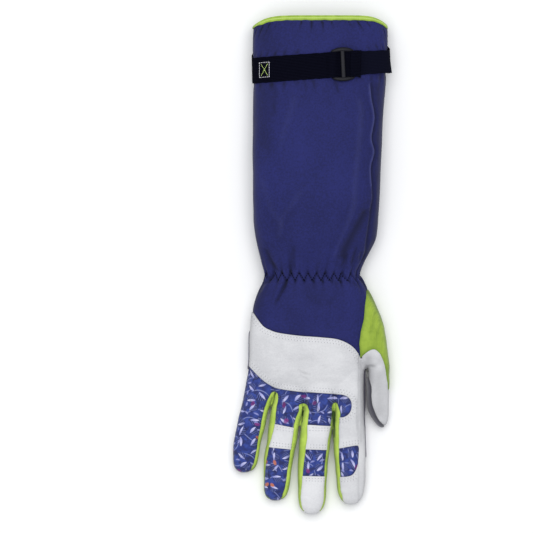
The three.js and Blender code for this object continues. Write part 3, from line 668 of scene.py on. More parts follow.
points, quads = fused([loft(rings) for rings in (
    trunk_rings(), *(digit_rings(rows) for rows in (LITTLE, RING, MIDDLE, INDEX, THUMB))
)])
points = relaxed(points, unique_edges(quads))
triangles = split_quads(points, quads)
skin = Skin(points, triangles, point_normals(points, triangles), np.zeros((len(points), 0)))
skin.rest, _ = skin.cut(skin.rest, lambda co: co[:, 1] - edge_level(co[:, 0]))


def noise(co, scale, seed):
    """Smooth noise in three dimensions, about -1 to 1."""
    rng = np.random.default_rng(seed)
    slopes = rng.normal(size=(512, 3))
    slopes /= np.linalg.norm(slopes, axis=1, keepdims=True)
    shuffle = rng.permutation(512)
    p = co / scale + 1000
    cell = np.floor(p).astype(int)
    f = p - cell
    ease = f * f * f * (f * (f * 6 - 15) + 10)
    total = np.zeros(len(co))
    for corner in np.ndindex(2, 2, 2):
        c = cell + corner
        key = shuffle[(shuffle[(shuffle[c[:, 0] % 512] + c[:, 1]) % 512] + c[:, 2]) % 512]
        weight = np.prod(np.where(corner, ease, 1 - ease), axis=1)
        total += weight * (slopes[key] * (f - corner)).sum(1)
    return total * 1.6


def blended(values, row, column):
    """A grid's values between its rows and columns. The last column leads back to the first."""
    row = np.clip(row, 0, len(values) - 1.001)
    r, c = row.astype(int), column.astype(int) % values.shape[1]
    fr, fc = row - r, column - np.floor(column)
    after = (c + 1) % values.shape[1]
    upper = values[r, c] * (1 - fc) + values[r, after] * fc
    lower = values[r + 1, c] * (1 - fc) + values[r + 1, after] * fc
    return upper * (1 - fr) + lower * fr


# Where a point lies round the trunk, as a share of the outline from the thumb side over the back
TURN_GAP = 4.0
TURN_LEVELS = np.arange(236, -122, -TURN_GAP)
TURN_STEPS = 720


def turns_at(y):
    """Shares of the way round at equal steps of the angle about the middle."""
    size = size_at(TRUNK, y)
    x, z = section(size, np.linspace(0, FULL_TURN, 1441))
    run = run_along(x, z)
    middle, level = centre(size)
    angle = np.unwrap(np.arctan2(z - level, x - middle))
    return np.interp(np.linspace(0, FULL_TURN, TURN_STEPS + 1), angle, run / run[-1])


TURNS = np.array([turns_at(y) for y in TURN_LEVELS])


def turn_of(co):
    middle, level = centre(size_at(TRUNK, co[:, 1]))
    angle = np.mod(np.arctan2(co[:, 2] - level, co[:, 0] - middle), FULL_TURN)
    return blended(TURNS, (TURN_LEVELS[0] - co[:, 1]) / TURN_GAP, angle / FULL_TURN * TURN_STEPS)


# Folds and creases of the back: a line in plan, its lift, its width, and its painted shade, or painted
# highlight below 0; those without lift are only painted shade
SIDE_GROOVE = smooth([
    [53.4, 166], [54.6, 150], [57.6, 132], [54.8, 114], [57.2, 101], [54, 86], [55.4, 62], [54.2, 50],
    [50.4, 24], [48.4, 10], [45, -2],
])
FOLDS = [
    (SIDE_GROOVE, -1.9, 1.3, 0.75),
    ([(x + 5, y) for x, y in SIDE_GROOVE], 0, 4.2, 0.62),
    ([(x - 1.8, y) for x, y in SIDE_GROOVE[:36]], 1.0, 1.0, -0.42),
    ([(51, 52), (44, 39), (37, 26.5), (30.6, 14), (26, 1)], -2.4, 3.6, 0.95),
    ([(41, 18), (38, 8), (34.6, -4)], -1.4, 1.4, 0.8),
    ([(45.5, 14), (42, 0)], -1.2, 1.3, 0.7),
    ([(41.4, 152), (44, 138), (42.3, 113), (38.7, 77), (37.4, 53), (31, 33), (22.5, 14), (18.5, 2)],
     0.9, 2.6, -0.06),
    ([(-14.4, 154), (-20.7, 134), (-33.3, 98)], 0.6, 3.4, -0.035),
    ([(-8, 68), (-26, 43), (-31, 20)], 0.6, 2.6, -0.04),
    ([(-44, 80), (-38, 52), (-24, 30)], 0.5, 2.4, -0.03),
    ([(-43, 176), (-43, 140), (-44, 100)], 0, 8, 0.42),
    ([(-35, 168), (-33.4, 152), (-36, 130)], -1.0, 2.4, 0.36),
    ([(0.5, 171), (2.4, 155)], -0.6, 1.3, 0.8),
    ([(18.5, 171), (22, 160), (24.5, 151)], -0.7, 1.4, 0.7),
    ([(-8.5, 171), (-5, 155)], -0.5, 1.5, 0.5),
    ([(-44, 218), (-40, 188)], 0, 10, 0.4),
    ([(-16.4, 20), (-17.4, -8)], -1.2, 2.0, 0.55),
    ([(-22.2, -12), (-25.6, -20), (-29.4, -28), (-34.6, -37.4)], -1.9, 1.3, 0.9),
    ([(-26.4, -13), (-33, -27)], 0.9, 2.0, 0),
    ([(-31.8, -8), (-38, -13), (-44, -18), (-49.4, -27)], -1.3, 1.6, 0.5),
    ([(-46, -18), (-52, -44)], 0, 6, 0.6),
    ([(-30, -8), (-38, 3), (-43, 17)], -1.2, 1.9, 0.9),
    ([(26, -4), (30, 4), (32, 12)], -1.0, 1.5, 0.45),
    ([(33, -13), (38, -17), (43.4, -22)], -1.0, 1.4, 0.5),
    ([(20, -10), (24, -26), (11, -38)], -0.8, 2.0, 0.3),
    ([(-3.5, -15), (-3, -27), (4, -34), (12, -33)], -0.7, 2.4, 0.22),
    ([(-15, -94.5), (-8, -97), (0, -99.5)], -0.5, 1.1, 0.32),
    ([(-12, -98.5), (-6, -102), (0, -105)], -0.4, 1.0, 0.24),
    ([(58.5, -38), (55, -54), (51, -68)], -0.7, 1.8, 0.22),
    ([(62, -50), (59.5, -62), (56.5, -74)], -0.6, 1.6, 0.2),
    ([(45.2, -93.2), (52, -91.6), (60, -92)], -1.0, 1.1, 0.6),
    ([(44, -86), (50, -85), (57, -87)], -0.6, 4.0, 0.55),
    ([(60, -92), (60.5, -118), (61, -140)], 0, 6, 0.42),
    ([(48.5, -84), (52.5, -99), (55, -112)], 0, 3, 0.3),
    ([(40.6, -118), (40.4, -136), (40.8, -152)], -0.6, 0.9, 0.3),
    ([(43.2, -80), (44.4, -96), (44.8, -130), (44.4, -165)], -0.4, 1.4, 0.3),
    ([(-5, -50), (22, -36)], 0.6, 8, 0),
]
# The slit in which each side strip meets itself at its fork, and its width
SLITS = [
    ([(-33.1, -114.6), (-35.2, -123.8), (-37.2, -131)], 0.55),
    ([(-7.7, -127.2), (-8.5, -134), (-9.3, -142)], 0.65),
    ([(19.6, -131), (19.8, -140), (19.4, -155)], 0.95),
]


def bell(distance, width, power=2):
    return np.exp(-((distance / width) ** power))


def fold_lift(co):
    """Lift and shade of the folds, each fading out towards its two ends, and of the slits."""
    p = co[:, :2]
    lift, shade = np.zeros(len(p)), np.zeros(len(p))
    for line, height, width, dark in FOLDS:
        ends = np.minimum(np.linalg.norm(p - line[0], axis=1), np.linalg.norm(p - line[-1], axis=1))
        form = bell(line_distance(p, line), width) * smoothstep(ends, 0, 7)
        lift += height * form
        shade += dark * form
    for line, width in SLITS:
        form = bell(line_distance(p, line), width) * smoothstep(np.linalg.norm(p - line[0], axis=1), 0, 2)
        lift -= SLITS_DEEP * form
        shade += SLITS_DARK * form
    return lift, shade


# The elastic's zigzag: rows of stitches that pinch the waist
ZIGZAGS = 26
ZIGZAG_HEIGHT = 7.4
ZIGZAG_SPACING = 8.0


def elastic_level(x):
    return WAIST_Y - 1.6 - 0.012 * x


def zigzag_level(turn, x):
    share = np.abs(np.mod(turn * ZIGZAGS, 1) * 2 - 1)  # 1 at each upper corner
    return elastic_level(x) + ZIGZAG_HEIGHT * (share - 0.5)


def waist_lift(co, turn):
    """Lift and shade of the waist: the zigzag's groove, the pleats from its corners, and puffed cloth."""
    x, y = co[:, 0], co[:, 1]
    rng = np.random.default_rng(5)
    strength = rng.uniform(0.35, 1.45, (2, ZIGZAGS + 1))
    reach = rng.uniform(0.6, 1.5, (2, ZIGZAGS + 1))
    off = (y - zigzag_level(turn, x)) / math.hypot(1, ZIGZAG_HEIGHT * 2 / ZIGZAG_SPACING)
    groove = bell(off, 0.8)
    total = -1.3 * groove
    shade = 0.5 * groove
    for row, side, length in ((0, 1, 11), (1, -1, 7)):
        phase = turn * ZIGZAGS - 0.5 * row
        cell = np.round(phase).astype(int)
        k = np.mod(cell, ZIGZAGS)
        beyond = side * (y - elastic_level(x)) - ZIGZAG_HEIGHT / 2
        fade = np.where(beyond > 0, np.exp(-beyond / (length * reach[row, k])), bell(beyond, 2.2))
        away = (phase - cell) * ZIGZAG_SPACING
        pleat = strength[row, k] * fade * bell(away, 1.1 + np.maximum(beyond, 0) * 0.05)
        total -= 1.25 * pleat
        shade += 0.75 * pleat
    spread = (1 - np.clip(np.abs(y - WAIST_Y) / np.where(y > WAIST_Y, 46, 22), 0, 1)) ** 2
    warp = turn + 0.006 * np.sin(FULL_TURN * turn * 5 + 0.6) + 0.004 * np.sin(FULL_TURN * turn * 9)
    total += spread * np.cos(FULL_TURN * warp * 13 + y * 0.02) * bell(y - WAIST_Y, 60)
    return total, shade


CUFF_ROUND = 300  # about the way round the cuff
STRAP_BACK_Y = 178.4
STRAP_HALF = 12
STRAP_SLOPE = 0.07
PIVOT_X = 7  # where the sloping strap is at its stated level


def along_strap(x, level):
    return level + STRAP_SLOPE * (x - PIVOT_X)


def pucker_lift(co, turn):
    """Small upright puckers where the cloth is gathered into the edge tape and held by the strap."""
    x, y = co[:, 0], co[:, 1]
    round_mm = turn * CUFF_ROUND
    down = edge_level(x) - y
    slanted = round_mm + 0.6 * np.cos(FULL_TURN * turn) * down
    wave = np.cos(FULL_TURN * slanted / 8.2 + 1.5 * np.sin(round_mm / 21) + 0.8 * np.sin(round_mm / 9.3))
    uneven = 0.55 + 0.45 * np.sin(round_mm / 6 + 2 * np.sin(round_mm / 29))
    stroke = -uneven * np.clip(wave, 0, 1) ** 7
    other = np.cos(FULL_TURN * round_mm / 11.5 + 2 * np.sin(round_mm / 33))
    slow = 0.5 + 0.5 * np.sin(round_mm / 17 + 1.0)
    under_tape = smoothstep(down, 3.2, 5.2) * np.exp(-(down - 5) / 4.5)
    over_strap = np.exp(-np.abs(y - along_strap(x, STRAP_BACK_Y + STRAP_HALF) - 1.5) / 3.2)
    under_strap = np.exp(-np.abs(y - along_strap(x, STRAP_BACK_Y - STRAP_HALF) + 2) / 5)
    by_strap = 0.75 * signed_power(wave, 1.6) * over_strap * slow + 0.6 * other * under_strap * slow
    return 2.0 * stroke * under_tape + by_strap


def printed_part(co):
    """1 inside the printed panels, falling to 0 at their borders."""

    def nearest(*kinds):
        regions = [region for name, region in CARVED.items() if any(kind in name for kind in kinds)]
        return either(*regions)(co)

    return smoothstep(-np.maximum(nearest("_print"), -nearest("_pad", "_tip", "side_")), 0, 1.5)


# how far each slit dips in, and how much painted shade lies in it
SLITS_DEEP, SLITS_DARK = 2.4, 1.3
LENGTHWAYS = 0.35  # draws soft folds out along the cuff
PRESSED = 0.85  # how much the strap and the floor press the folds flat


def dress(skin):
    """Moves the skin's points: folds, gathers, puckers and soft wrinkles. Keeps the moves and the painted
    shade, which is painted highlight where it is below 0.
    """
    co, n = skin.co, skin.normal
    x, y, z = co.T
    turn = turn_of(co)
    facing = np.clip(n[:, 2] * 1.3, 0, 1)
    lift, shade = (part * facing for part in fold_lift(co))
    # the waist's gathers, with painted shade in the zigzag's groove and in its pleats
    gathered, dark = waist_lift(co, turn)
    by_waist = (y < 70) * smoothstep(y, -60, -30)
    lift += gathered * by_waist
    shade += dark * by_waist
    puckered = np.where(y > 140, pucker_lift(co, turn), 0)
    lift += puckered
    # painted shade in the hollows of the puckers
    shade += np.clip(-puckered - 0.1, 0, 1) * 2.0
    lift += 0.6 * noise(co * [1, LENGTHWAYS, 1], 26, 11) * smoothstep(y, -40, 0)
    lift += 0.35 * noise(co * [1, LENGTHWAYS * 0.9, 1], 9, 12) * smoothstep(y, -60, -20)
    by_strap = bell(y - along_strap(x, STRAP_BACK_Y), 14, 4)
    lift *= 1 - PRESSED * by_strap
    lift -= 0.5 * by_strap
    # softer, crosswise wrinkles on the hand and fingers
    hand = 1 - smoothstep(y, -60, -35)
    lift += hand * 0.45 * noise(co * [0.8, 1.2, 0.8], 13, 21)
    lift += hand * 0.22 * noise(co * [0.5, 1.6, 0.5], 5, 22) * facing
    # creases in the printed panels: shallow dips with painted shade in them
    creased = printed_part(co) * bell(noise(co * [0.8, 1.1, 0.8], 7.5, 24), 0.12)
    creased *= smoothstep(noise(co, 11, 25), -0.25, 0.35)
    lift -= 0.65 * creased
    shade += 0.6 * creased * facing
    # painted shade on the steep sides above the floor, which face away from the light; less of it on the
    # hand
    flank = (1 - smoothstep(n[:, 2], 0.1, 0.75)) * smoothstep(z, 3, 9)
    shade += (0.65 - 0.15 * hand) * flank
    on_floor = smoothstep(-n[:, 2], 0.75, 0.95) * smoothstep(3.5 - z, 0, 1.5)
    lift *= 1 - PRESSED * on_floor
    dressed = co + n * lift[:, None]
    dressed[:, 2] = np.maximum(dressed[:, 2], RISE)
    skin.extra = np.column_stack([dressed - co, np.clip(shade, -0.5, 1.2)])


middles = skin.co[skin.rest].mean(1)
by_slit = np.minimum.reduce([line_distance(middles[:, :2], line) for line, _ in SLITS]) < 2.5
by_elastic = (middles[:, 1] > -24) & (middles[:, 1] < 8)
skin.refine(by_elastic | (by_slit & (middles[:, 2] > 10)))
dress(skin)


# Panels
def used_only(faces):
    used, index = np.unique(faces, return_inverse=True)
    return used, index.reshape(faces.shape)


def border_edges(faces):
    pairs = edges_of(faces)
    _, first, counts = np.unique(np.sort(pairs, 1), axis=0, return_index=True, return_counts=True)
    return pairs[first[counts == 1]]


def border_distance(co, border):
    """Distance of each point from the nearest corner or middle of a border's edges."""
    ends = co[border]
    spots = np.concatenate([ends[:, 0], ends.mean(1)])
    tree = KDTree(len(spots))
    for i, spot in enumerate(spots):
        tree.insert(spot, i)
    tree.balance()
    return np.array([tree.find(p)[2] for p in co])


def biggest_part(faces):
    """The largest connected part of some triangles."""
    used, small = used_only(faces)
    label = np.arange(len(used))
    before = None
    while before is None or (label != before).any():
        before = label.copy()
        low = label[small].min(1)
        for k in range(3):
            np.minimum.at(label, small[:, k], low)
        label = label[label]
    owner = label[small[:, 0]]
    names, counts = np.unique(owner, return_counts=True)
    return faces[owner == names[counts.argmax()]]


def store(made, **values):
    """Shades a mesh smooth, and keeps named values on its points."""
    made.data.polygons.foreach_set("use_smooth", np.ones(len(made.data.polygons), bool))
    for key, value in values.items():
        attribute = made.data.attributes.new(key, "FLOAT", "POINT")
        attribute.data.foreach_set("value", np.asarray(value, np.float32).ravel())
    return made


CLOTH = 1.2
FINE_BORDER = 2.2  # how far from its border a panel's mesh is refined
BORDER_SHADE = 1.6
SURFACES = {}  # outer points, triangles and distances from the border of each panel, for its stitches


def panel(name, ending, layer, faces, profile, floor_level, foot=None):
    """A sheet with rounded borders, thickened inward or down to a foot, as one closed mesh object."""
    lift, drop, reach = profile
    used, small = used_only(faces)
    sheet = Skin(layer.co[used] + layer.extra[used, :3], small, layer.normal[used], layer.extra[used, 3:])
    away = border_distance(sheet.co, border_edges(small))
    sheet.refine(away[small].min(1) < FINE_BORDER)
    co, normal, faces = sheet.co, sheet.normal, sheet.rest
    border = border_edges(faces)
    away = border_distance(co, border)
    offset = lift - drop * bell(away, reach, 1.5)
    outer = co + normal * offset[:, None]
    outer[:, 2] = np.maximum(outer[:, 2], floor_level)
    count = len(co)
    inner = co + normal * (offset - CLOTH if foot is None else np.full(count, foot))[:, None]
    a, b = border.T
    rim = np.concatenate([np.stack([b, a, a + count], 1), np.stack([b, a + count, b + count], 1)])
    every = np.concatenate([faces, faces[:, ::-1] + count, rim])
    made = new_object(name + ending, np.concatenate([outer, inner]), every.tolist())
    SURFACES[name] = (outer, faces, away)
    # painted shade that darkens each panel towards its border, and the painted shading carried from the skin
    border_shade = np.exp(-away / BORDER_SHADE)
    return store(made, fold=np.tile(sheet.extra[:, 0], 2), border=np.tile(border_shade, 2))


LEATHER = ["index_tip", "knuckle_patch", "middle_pad", "middle_tip", "ring_pad"]
STRIPS = [name for name in CARVED if name.startswith("side_strip")]
# How each panel meets its border: lift inside, drop at the border, and how far the drop reaches
PLAIN = (0, 0.5, 0.9)
LAID_ON = (RISE, 0.6, 0.8)
PROFILES = {
    "palm": (0, 0.35, 0.8),
    **dict.fromkeys(LEATHER, (0.75, 0.3, 0.8)),
    **dict.fromkeys(STRIPS, (0.15, 0.9, 1.2)),
}

pieces = {}
carved = skin.copied()
for name, region in CARVED.items():
    inside, carved.rest = carved.cut(carved.rest, region)
    pieces[name] = biggest_part(inside)
pieces["palm"] = biggest_part(carved.rest)
objects = {}
for name, faces in pieces.items():
    objects[name] = panel(name, "_panel", carved, faces, PROFILES.get(name, PLAIN), RISE - 0.2)
for name, region in OVERLAID.items():
    layer = skin.copied()
    inside, _ = layer.cut(layer.rest, region)
    objects[name] = panel(name, "_layer", layer, biggest_part(inside), LAID_ON, ON_FLOOR, foot=0.1)


# Tape, strap, buckle and loop
def finish_mesh(made, **values):
    """Faces turned outward and shaded smooth, and values stored on the points."""
    work = bmesh.new()
    work.from_mesh(made.data)
    bmesh.ops.recalc_face_normals(work, faces=work.faces)
    work.to_mesh(made.data)
    work.free()
    return store(made, **values)


CUFF_GAP = 2.0
CUFF_LEVELS = np.arange(150.0, 226.1, CUFF_GAP)
CUFF_TURNS = 720
CUFF = np.array([outline(size_at(TRUNK, y), np.arange(CUFF_TURNS) / CUFF_TURNS) for y in CUFF_LEVELS])


def on_cuff(y, turn):
    """Points of the cuff's plain wall, by y and by share of the way round."""
    y, turn = np.broadcast_arrays(np.asarray(y, float), np.asarray(turn, float))
    row, column = (y - CUFF_LEVELS[0]) / CUFF_GAP, np.mod(turn, 1) * CUFF_TURNS
    x, z = (blended(CUFF[:, axis], row, column) for axis in (0, 1))
    return np.stack([x, y, z], -1)


def cuff_normal(y, turn):
    along = on_cuff(y, turn + 0.006) - on_cuff(y, turn - 0.006)
    normal = np.stack([along[..., 2], np.zeros(along.shape[:-1]), -along[..., 0]], -1)
    return normal / np.linalg.norm(normal, axis=-1, keepdims=True)


def off_cuff(y, turn, lift):
    return on_cuff(y, turn) + cuff_normal(y, turn) * np.asarray(lift)[..., None]


# Lift off the wall's outside, and distance below the wall's edge
TAPE_SECTION = [
    (0.5, 3.5), (0.85, 3.3), (1.05, 2.6), (1.1, 1.9), (1.1, 1.2), (1.05, 0.5), (0.9, -0.2), (0.5, -0.75),
    (-0.1, -1.0), (-0.9, -1.0), (-1.6, -0.85), (-2.1, -0.35), (-2.35, 0.4), (-2.35, 1.6), (-2.3, 2.6),
    (-2.1, 3.1), (-1.7, 3.0), (-1.6, 1.2), (-1.4, 0.2), (0.0, 0.2), (0.15, 1.2), (0.25, 3.2),
]


def edge_tape(count=420):
    """Tape folded over the cuff's edge, narrower on the back's left corner."""
    turns = np.arange(count) / count
    edge_x = on_cuff(EDGE_Y, turns)[:, 0]
    wave = 0.22 * np.sin(turns * FULL_TURN * 31) + 0.18 * np.sin(turns * FULL_TURN * 17 + 1)
    left_end = smoothstep(-edge_x, 43, 51.5) * (turns < 0.55)
    rows = []
    for lift, down in TAPE_SECTION:
        foot = smoothstep(down, 0.5, 3.0)
        level = edge_level(edge_x) - (down - 1.7 * left_end * foot * (lift > 0))
        rows.append(off_cuff(level + 0.6 * wave * foot, turns, lift + 0.12 * wave * np.sign(lift)))
    made = new_object("edge_tape_binding", np.concatenate(rows), grid_faces(len(rows), count))
    return finish_mesh(made, down=np.repeat([down for _, down in TAPE_SECTION], count))


STRAP_WIDTH = 23.2
STRAP_ROUND = 330
STRAP_STEP = 6  # how much lower it runs on the back than half way round, and higher in front
STRAP_Y = STRAP_BACK_Y + STRAP_STEP
SLACK, SLACK_AT, SLACK_REACH = 2.6, 1 / 44, 2.6 / 44  # where it hangs loose on the thumb side
BUCKLE = {"x": 27.2, "y": 179.6, "width": 20.6, "height": 30.8, "slot": 24.2}
# x, and the lift under the webbing, through the buckle
STRAP_RUN = [
    (4, 0.4), (9, 0.45), (12.6, 0.8), (16, 2.7), (18.3, 2.95), (20.6, 2.7), (23.4, 0.9), (25.8, 0.3),
    (28.6, 0.3), (31.2, 0.9), (34, 2.7), (36.3, 2.95), (38.6, 2.6), (42.5, 0.7), (44, 0.5), (47, 0.45),
    (60, 0.5),
]
# The webbing's cross-section: shares of its width and of its thickness
RIM = [
    (-0.5, 0.5), (-0.497, 0.82), (-0.485, 1.0), *[(share, 1.0) for share in np.linspace(-0.42, 0.42, 9)],
    (0.485, 1.0), (0.497, 0.82), (0.5, 0.5), (0.497, 0.18), (0.485, 0.0),
    *[(share, 0.0) for share in np.linspace(0.42, -0.42, 5)], (-0.485, 0.0), (-0.497, 0.18),
]


def strap_level(turns):
    level = STRAP_Y - STRAP_STEP * np.clip(3 * np.sin(turns * FULL_TURN) + 0.8, -1, 1)
    return along_strap(on_cuff(level, turns)[..., 0], level)


def from_slack(turns):
    """How far round the cuff from where the strap hangs loose."""
    away = np.abs(turns - SLACK_AT)
    return np.minimum(away, 1 - away)


def strap_lift(turns):
    x = on_cuff(BUCKLE["y"], turns)[..., 0]
    xs, lifts = np.transpose(STRAP_RUN)
    by_buckle = (turns < 0.5) & (x > xs[0]) & (x < 52)
    return np.where(by_buckle, np.interp(x, xs, lifts), GAP + SLACK * bell(from_slack(turns), SLACK_REACH))


def band(turns, lift, thickness, closed, width, shift):
    """Webbing laid round the cuff in rows of one cross-section each, and its values across and along."""
    middle = strap_level(turns) + shift
    loose = bell(from_slack(turns), SLACK_REACH)
    ripple = 0.16 * np.sin(turns * FULL_TURN * 23) + 0.1 * np.sin(turns * FULL_TURN * 41 + 2)
    rows = []
    for across, height in RIM:
        edge = ripple * (abs(across) * 2) ** 3
        y = middle + across * width + 0.8 * edge
        rows.append(off_cuff(y, turns, lift + height * thickness + 0.5 * edge - 3.6 * across * loose))
    points = np.stack(rows, 1)
    points[..., 2] = np.maximum(points[..., 2], ON_FLOOR)
    faces = grid_faces(len(turns), len(RIM), closed)
    if not closed:
        last = (len(turns) - 1) * len(RIM)
        faces += [list(range(len(RIM))), [last + k for k in reversed(range(len(RIM)))]]
    across = np.outer(width, [share for share, _ in RIM]).ravel()
    return (points.reshape(-1, 3), faces), across, np.repeat(turns * STRAP_ROUND, len(RIM))


def turn_at(x):
    """The share of the way round at which the cuff's back passes a given x, at the buckle."""
    turns = np.linspace(0, 0.5, 2001)
    xs = on_cuff(BUCKLE["y"], turns)[:, 0]
    return np.interp(-np.asarray(x, float), -xs, turns)


def strap(end_rows=26):
    """The strap round the cuff, and its free end doubled back past the buckle."""
    turns = np.unique(np.concatenate([np.arange(360) / 360, turn_at(np.arange(6, 50, 0.5))]))
    lift = strap_lift(turns)
    lift = np.convolve([*lift[-2:], *lift, *lift[:2]], np.array([1, 2, 3, 2, 1]) / 9, mode="valid")
    drawn = bell(from_slack(turns), 0.11, 6)
    main, main_across, main_along = band(turns, lift, PATCH, True, STRAP_WIDTH * (1 - 0.11 * drawn), 0)
    end_turns = turn_at(np.linspace(43.1, 33.4, end_rows))
    end_lift = np.interp(end_turns, turns, lift) + PATCH + 0.12
    taper = np.interp(np.arange(end_rows), [0, 1, end_rows - 2, end_rows - 1], [0.55, 1, 1, 0.6])
    free = np.linspace(1, 0, end_rows) ** 1.5
    end, end_across, end_along = band(
        end_turns, end_lift, PATCH * 0.95 * taper, False, STRAP_WIDTH - 0.3 + 1.9 * free, -0.9 * free
    )
    return finish_mesh(
        new_object("strap_webbing", *joined([main, end])),
        across=np.concatenate([main_across, end_across]),
        along=np.concatenate([main_along, end_along]),
        drawn=np.concatenate([np.repeat(drawn, len(RIM)), np.zeros(len(end_across))]),
    )


def rounded_box(work, centre, size, radius, segments=3):
    verts = bmesh.ops.create_cube(work, size=1)["verts"]
    bmesh.ops.scale(work, vec=size, verts=verts)
    bmesh.ops.translate(work, vec=centre, verts=verts)
    edges = list(dict.fromkeys(edge for vert in verts for edge in vert.link_edges))
    bmesh.ops.bevel(work, geom=edges, offset=radius, segments=segments, profile=0.5, affect="EDGES")


def arched_rail(work, side, rows=25, sides=16):
    """A rail that bows outward and tapers to both ends."""
    angles = np.arange(sides) * FULL_TURN / sides
    across, up = signed_power(np.cos(angles), 0.75), signed_power(np.sin(angles), 0.75)
    rings = []
    for share in np.linspace(-1, 1, rows):
        full = max(1 - share * share, 0) ** 0.5
        half, rise = 0.55 + 1.45 * full, 0.8 + 1.3 * full
        ys = side * (11.7 + 1.7 * (1 - share * share)) + across * half
        zs = 0.4 + rise + up * rise
        rings.append([work.verts.new((share * BUCKLE["width"] / 2, y, z)) for y, z in zip(ys, zs)])
    for a, b in zip(rings, rings[1:]):
        for k in range(sides):
            after = (k + 1) % sides
            work.faces.new((a[k], a[after], b[after], b[k]))
    work.faces.new(rings[0])
    work.faces.new(reversed(rings[-1]))


def buckle():
    """Slide buckle: two arched rails, two low side bars and a raised middle bar, as one moulding."""
    work = bmesh.new()
    for side in (-1, 1):
        arched_rail(work, side)
        rounded_box(work, (side * 7.9, 0, 1.15), (2.4, BUCKLE["slot"] - 0.4, 1.5), 0.55)
    rounded_box(work, (0, 0, 3.4), (3.8, BUCKLE["slot"] + 1.0, 2.2), 0.95, 4)
    turn = float(turn_at(BUCKLE["x"]))
    head, heel = (on_cuff(BUCKLE["y"] + end * BUCKLE["height"], turn) for end in (0.5, -0.5))
    across = Vector(on_cuff(BUCKLE["y"], turn - 0.02) - on_cuff(BUCKLE["y"], turn + 0.02))
    lengthways = Vector(head - heel).normalized()
    outward = across.cross(lengthways).normalized()
    basis = Matrix((lengthways.cross(outward), lengthways, outward)).transposed().to_4x4()
    place = Matrix.Scale(MM, 4) @ Matrix.Translation(Vector((head + heel) / 2))
    place = place @ basis @ Matrix.Rotation(math.atan(STRAP_SLOPE), 4, "Z")
    bmesh.ops.transform(work, matrix=place, verts=work.verts)
    mesh = bpy.data.meshes.new("buckle_slide")
    work.to_mesh(mesh)
    work.free()
    return finish_mesh(linked("buckle_slide", mesh))


LOOP = {"left": 20, "right": 37, "low": 204.2, "high": 219, "layer": 0.65, "foot": 0.9, "between": 0.2}


def hang_loop(steps=14):
    """A tape folded over on itself, flat under the cuff."""
    half = LOOP["layer"] / 2
    radius = (LOOP["layer"] + LOOP["between"]) / 2
    middle = LOOP["foot"] + LOOP["layer"] + LOOP["between"] / 2
    turn = np.linspace(-np.pi / 2, np.pi / 2, 9)[1:-1]
    low = np.linspace(LOOP["low"], LOOP["high"], steps)
    line_y = np.concatenate([low, LOOP["high"] + radius * np.cos(turn), low[::-1]])
    level = middle + radius * np.concatenate([np.full(steps, -1), np.sin(turn), np.full(steps, 1)])
    bulge = 0.35 * np.sin(np.clip((line_y - 209) / 10, 0, 1) * np.pi)
    line = np.stack([line_y, level - np.where(level < middle, bulge, 0)], 1)
    along = np.gradient(line, axis=0)
    normal = np.stack([along[:, 1], -along[:, 0]], 1) / np.linalg.norm(along, axis=1, keepdims=True)
    loop = np.concatenate([line + normal * half, (line - normal * half)[::-1]])
    sides = len(loop)
    xs = np.linspace(LOOP["left"], LOOP["right"], 12)
    rows = [np.column_stack([np.full(sides, x), loop]) for x in xs]
    faces = grid_faces(len(rows), sides, closed=False)
    for base in (0, (len(rows) - 1) * sides):
        last = base + sides - 1
        faces += [[base + k, base + k + 1, last - 1 - k, last - k] for k in range(sides // 2 - 1)]
    return finish_mesh(new_object("hang_loop_tape", np.concatenate(rows), faces))


objects["edge_tape"] = edge_tape()
objects["strap"] = strap()
objects["buckle"] = buckle()
objects["hang_loop"] = hang_loop()


# Stitches
def stitch_form(sides=6):
    """One stitch along +X, 1 long and 1 across, as points and triangles."""
    stations = [(-0.42, 0.75), (-0.2, 1.0), (0.2, 1.0), (0.42, 0.75)]
    points = [(-0.5, 0, 0)]
    for x, radius in stations:
        for turn in np.arange(sides) * FULL_TURN / sides:
            points.append((x, 0.5 * radius * math.cos(turn), 0.5 * radius * math.sin(turn)))
    points.append((0.5, 0, 0))
    faces = []
    last = 1 + (len(stations) - 1) * sides
    for k in range(sides):
        after = (k + 1) % sides
        faces.append((0, 1 + after, 1 + k))
        for a in range(1, last, sides):
            b = a + sides
            faces += [(a + k, a + after, b + after), (a + k, b + after, b + k)]
        faces.append((last + k, last + after, len(points) - 1))
    return np.array(points), np.array(faces)


STITCH_POINTS, STITCH_FACES = stitch_form()
THREADS = {}  # place, direction, normal, length and width of each stitch, by thread
STITCH_WIDTH = 0.55
PITCH, STITCH_LENGTH = 2.7, 1.9
STITCH_SINK = 0.12
SEAM_MARGIN = 0.8  # no stitch lies nearer to a panel's border
CLEAR_ABOVE, CLEAR_BELOW = 120, -30  # levels from which rays look for a panel


def sew(thread, place, direction, normal, length, width=STITCH_WIDTH):
    THREADS.setdefault(thread, []).append((place, direction, normal, length, width))


def surface(names):
    """Ray target made of several panels' outer surfaces, with its triangles and their border distances."""
    points, faces, away = zip(*(SURFACES[name] for name in names))
    starts = np.cumsum([0, *map(len, points)])
    faces = np.concatenate([some + start for some, start in zip(faces, starts)])
    tree = BVHTree.FromPolygons(np.concatenate(points).tolist(), faces.tolist())
    return tree, faces, np.concatenate(away)


def struck(tree, start, aim):
    """Where a ray strikes, the normal that faces it, and the triangle, or nothing."""
    hit, normal, index, _ = tree.ray_cast(start, aim)
    return None if hit is None else (hit, normal if normal.dot(aim) < 0 else -normal, index)


def laid_flat(direction, normal):
    return (direction - normal * direction.dot(normal)).normalized()


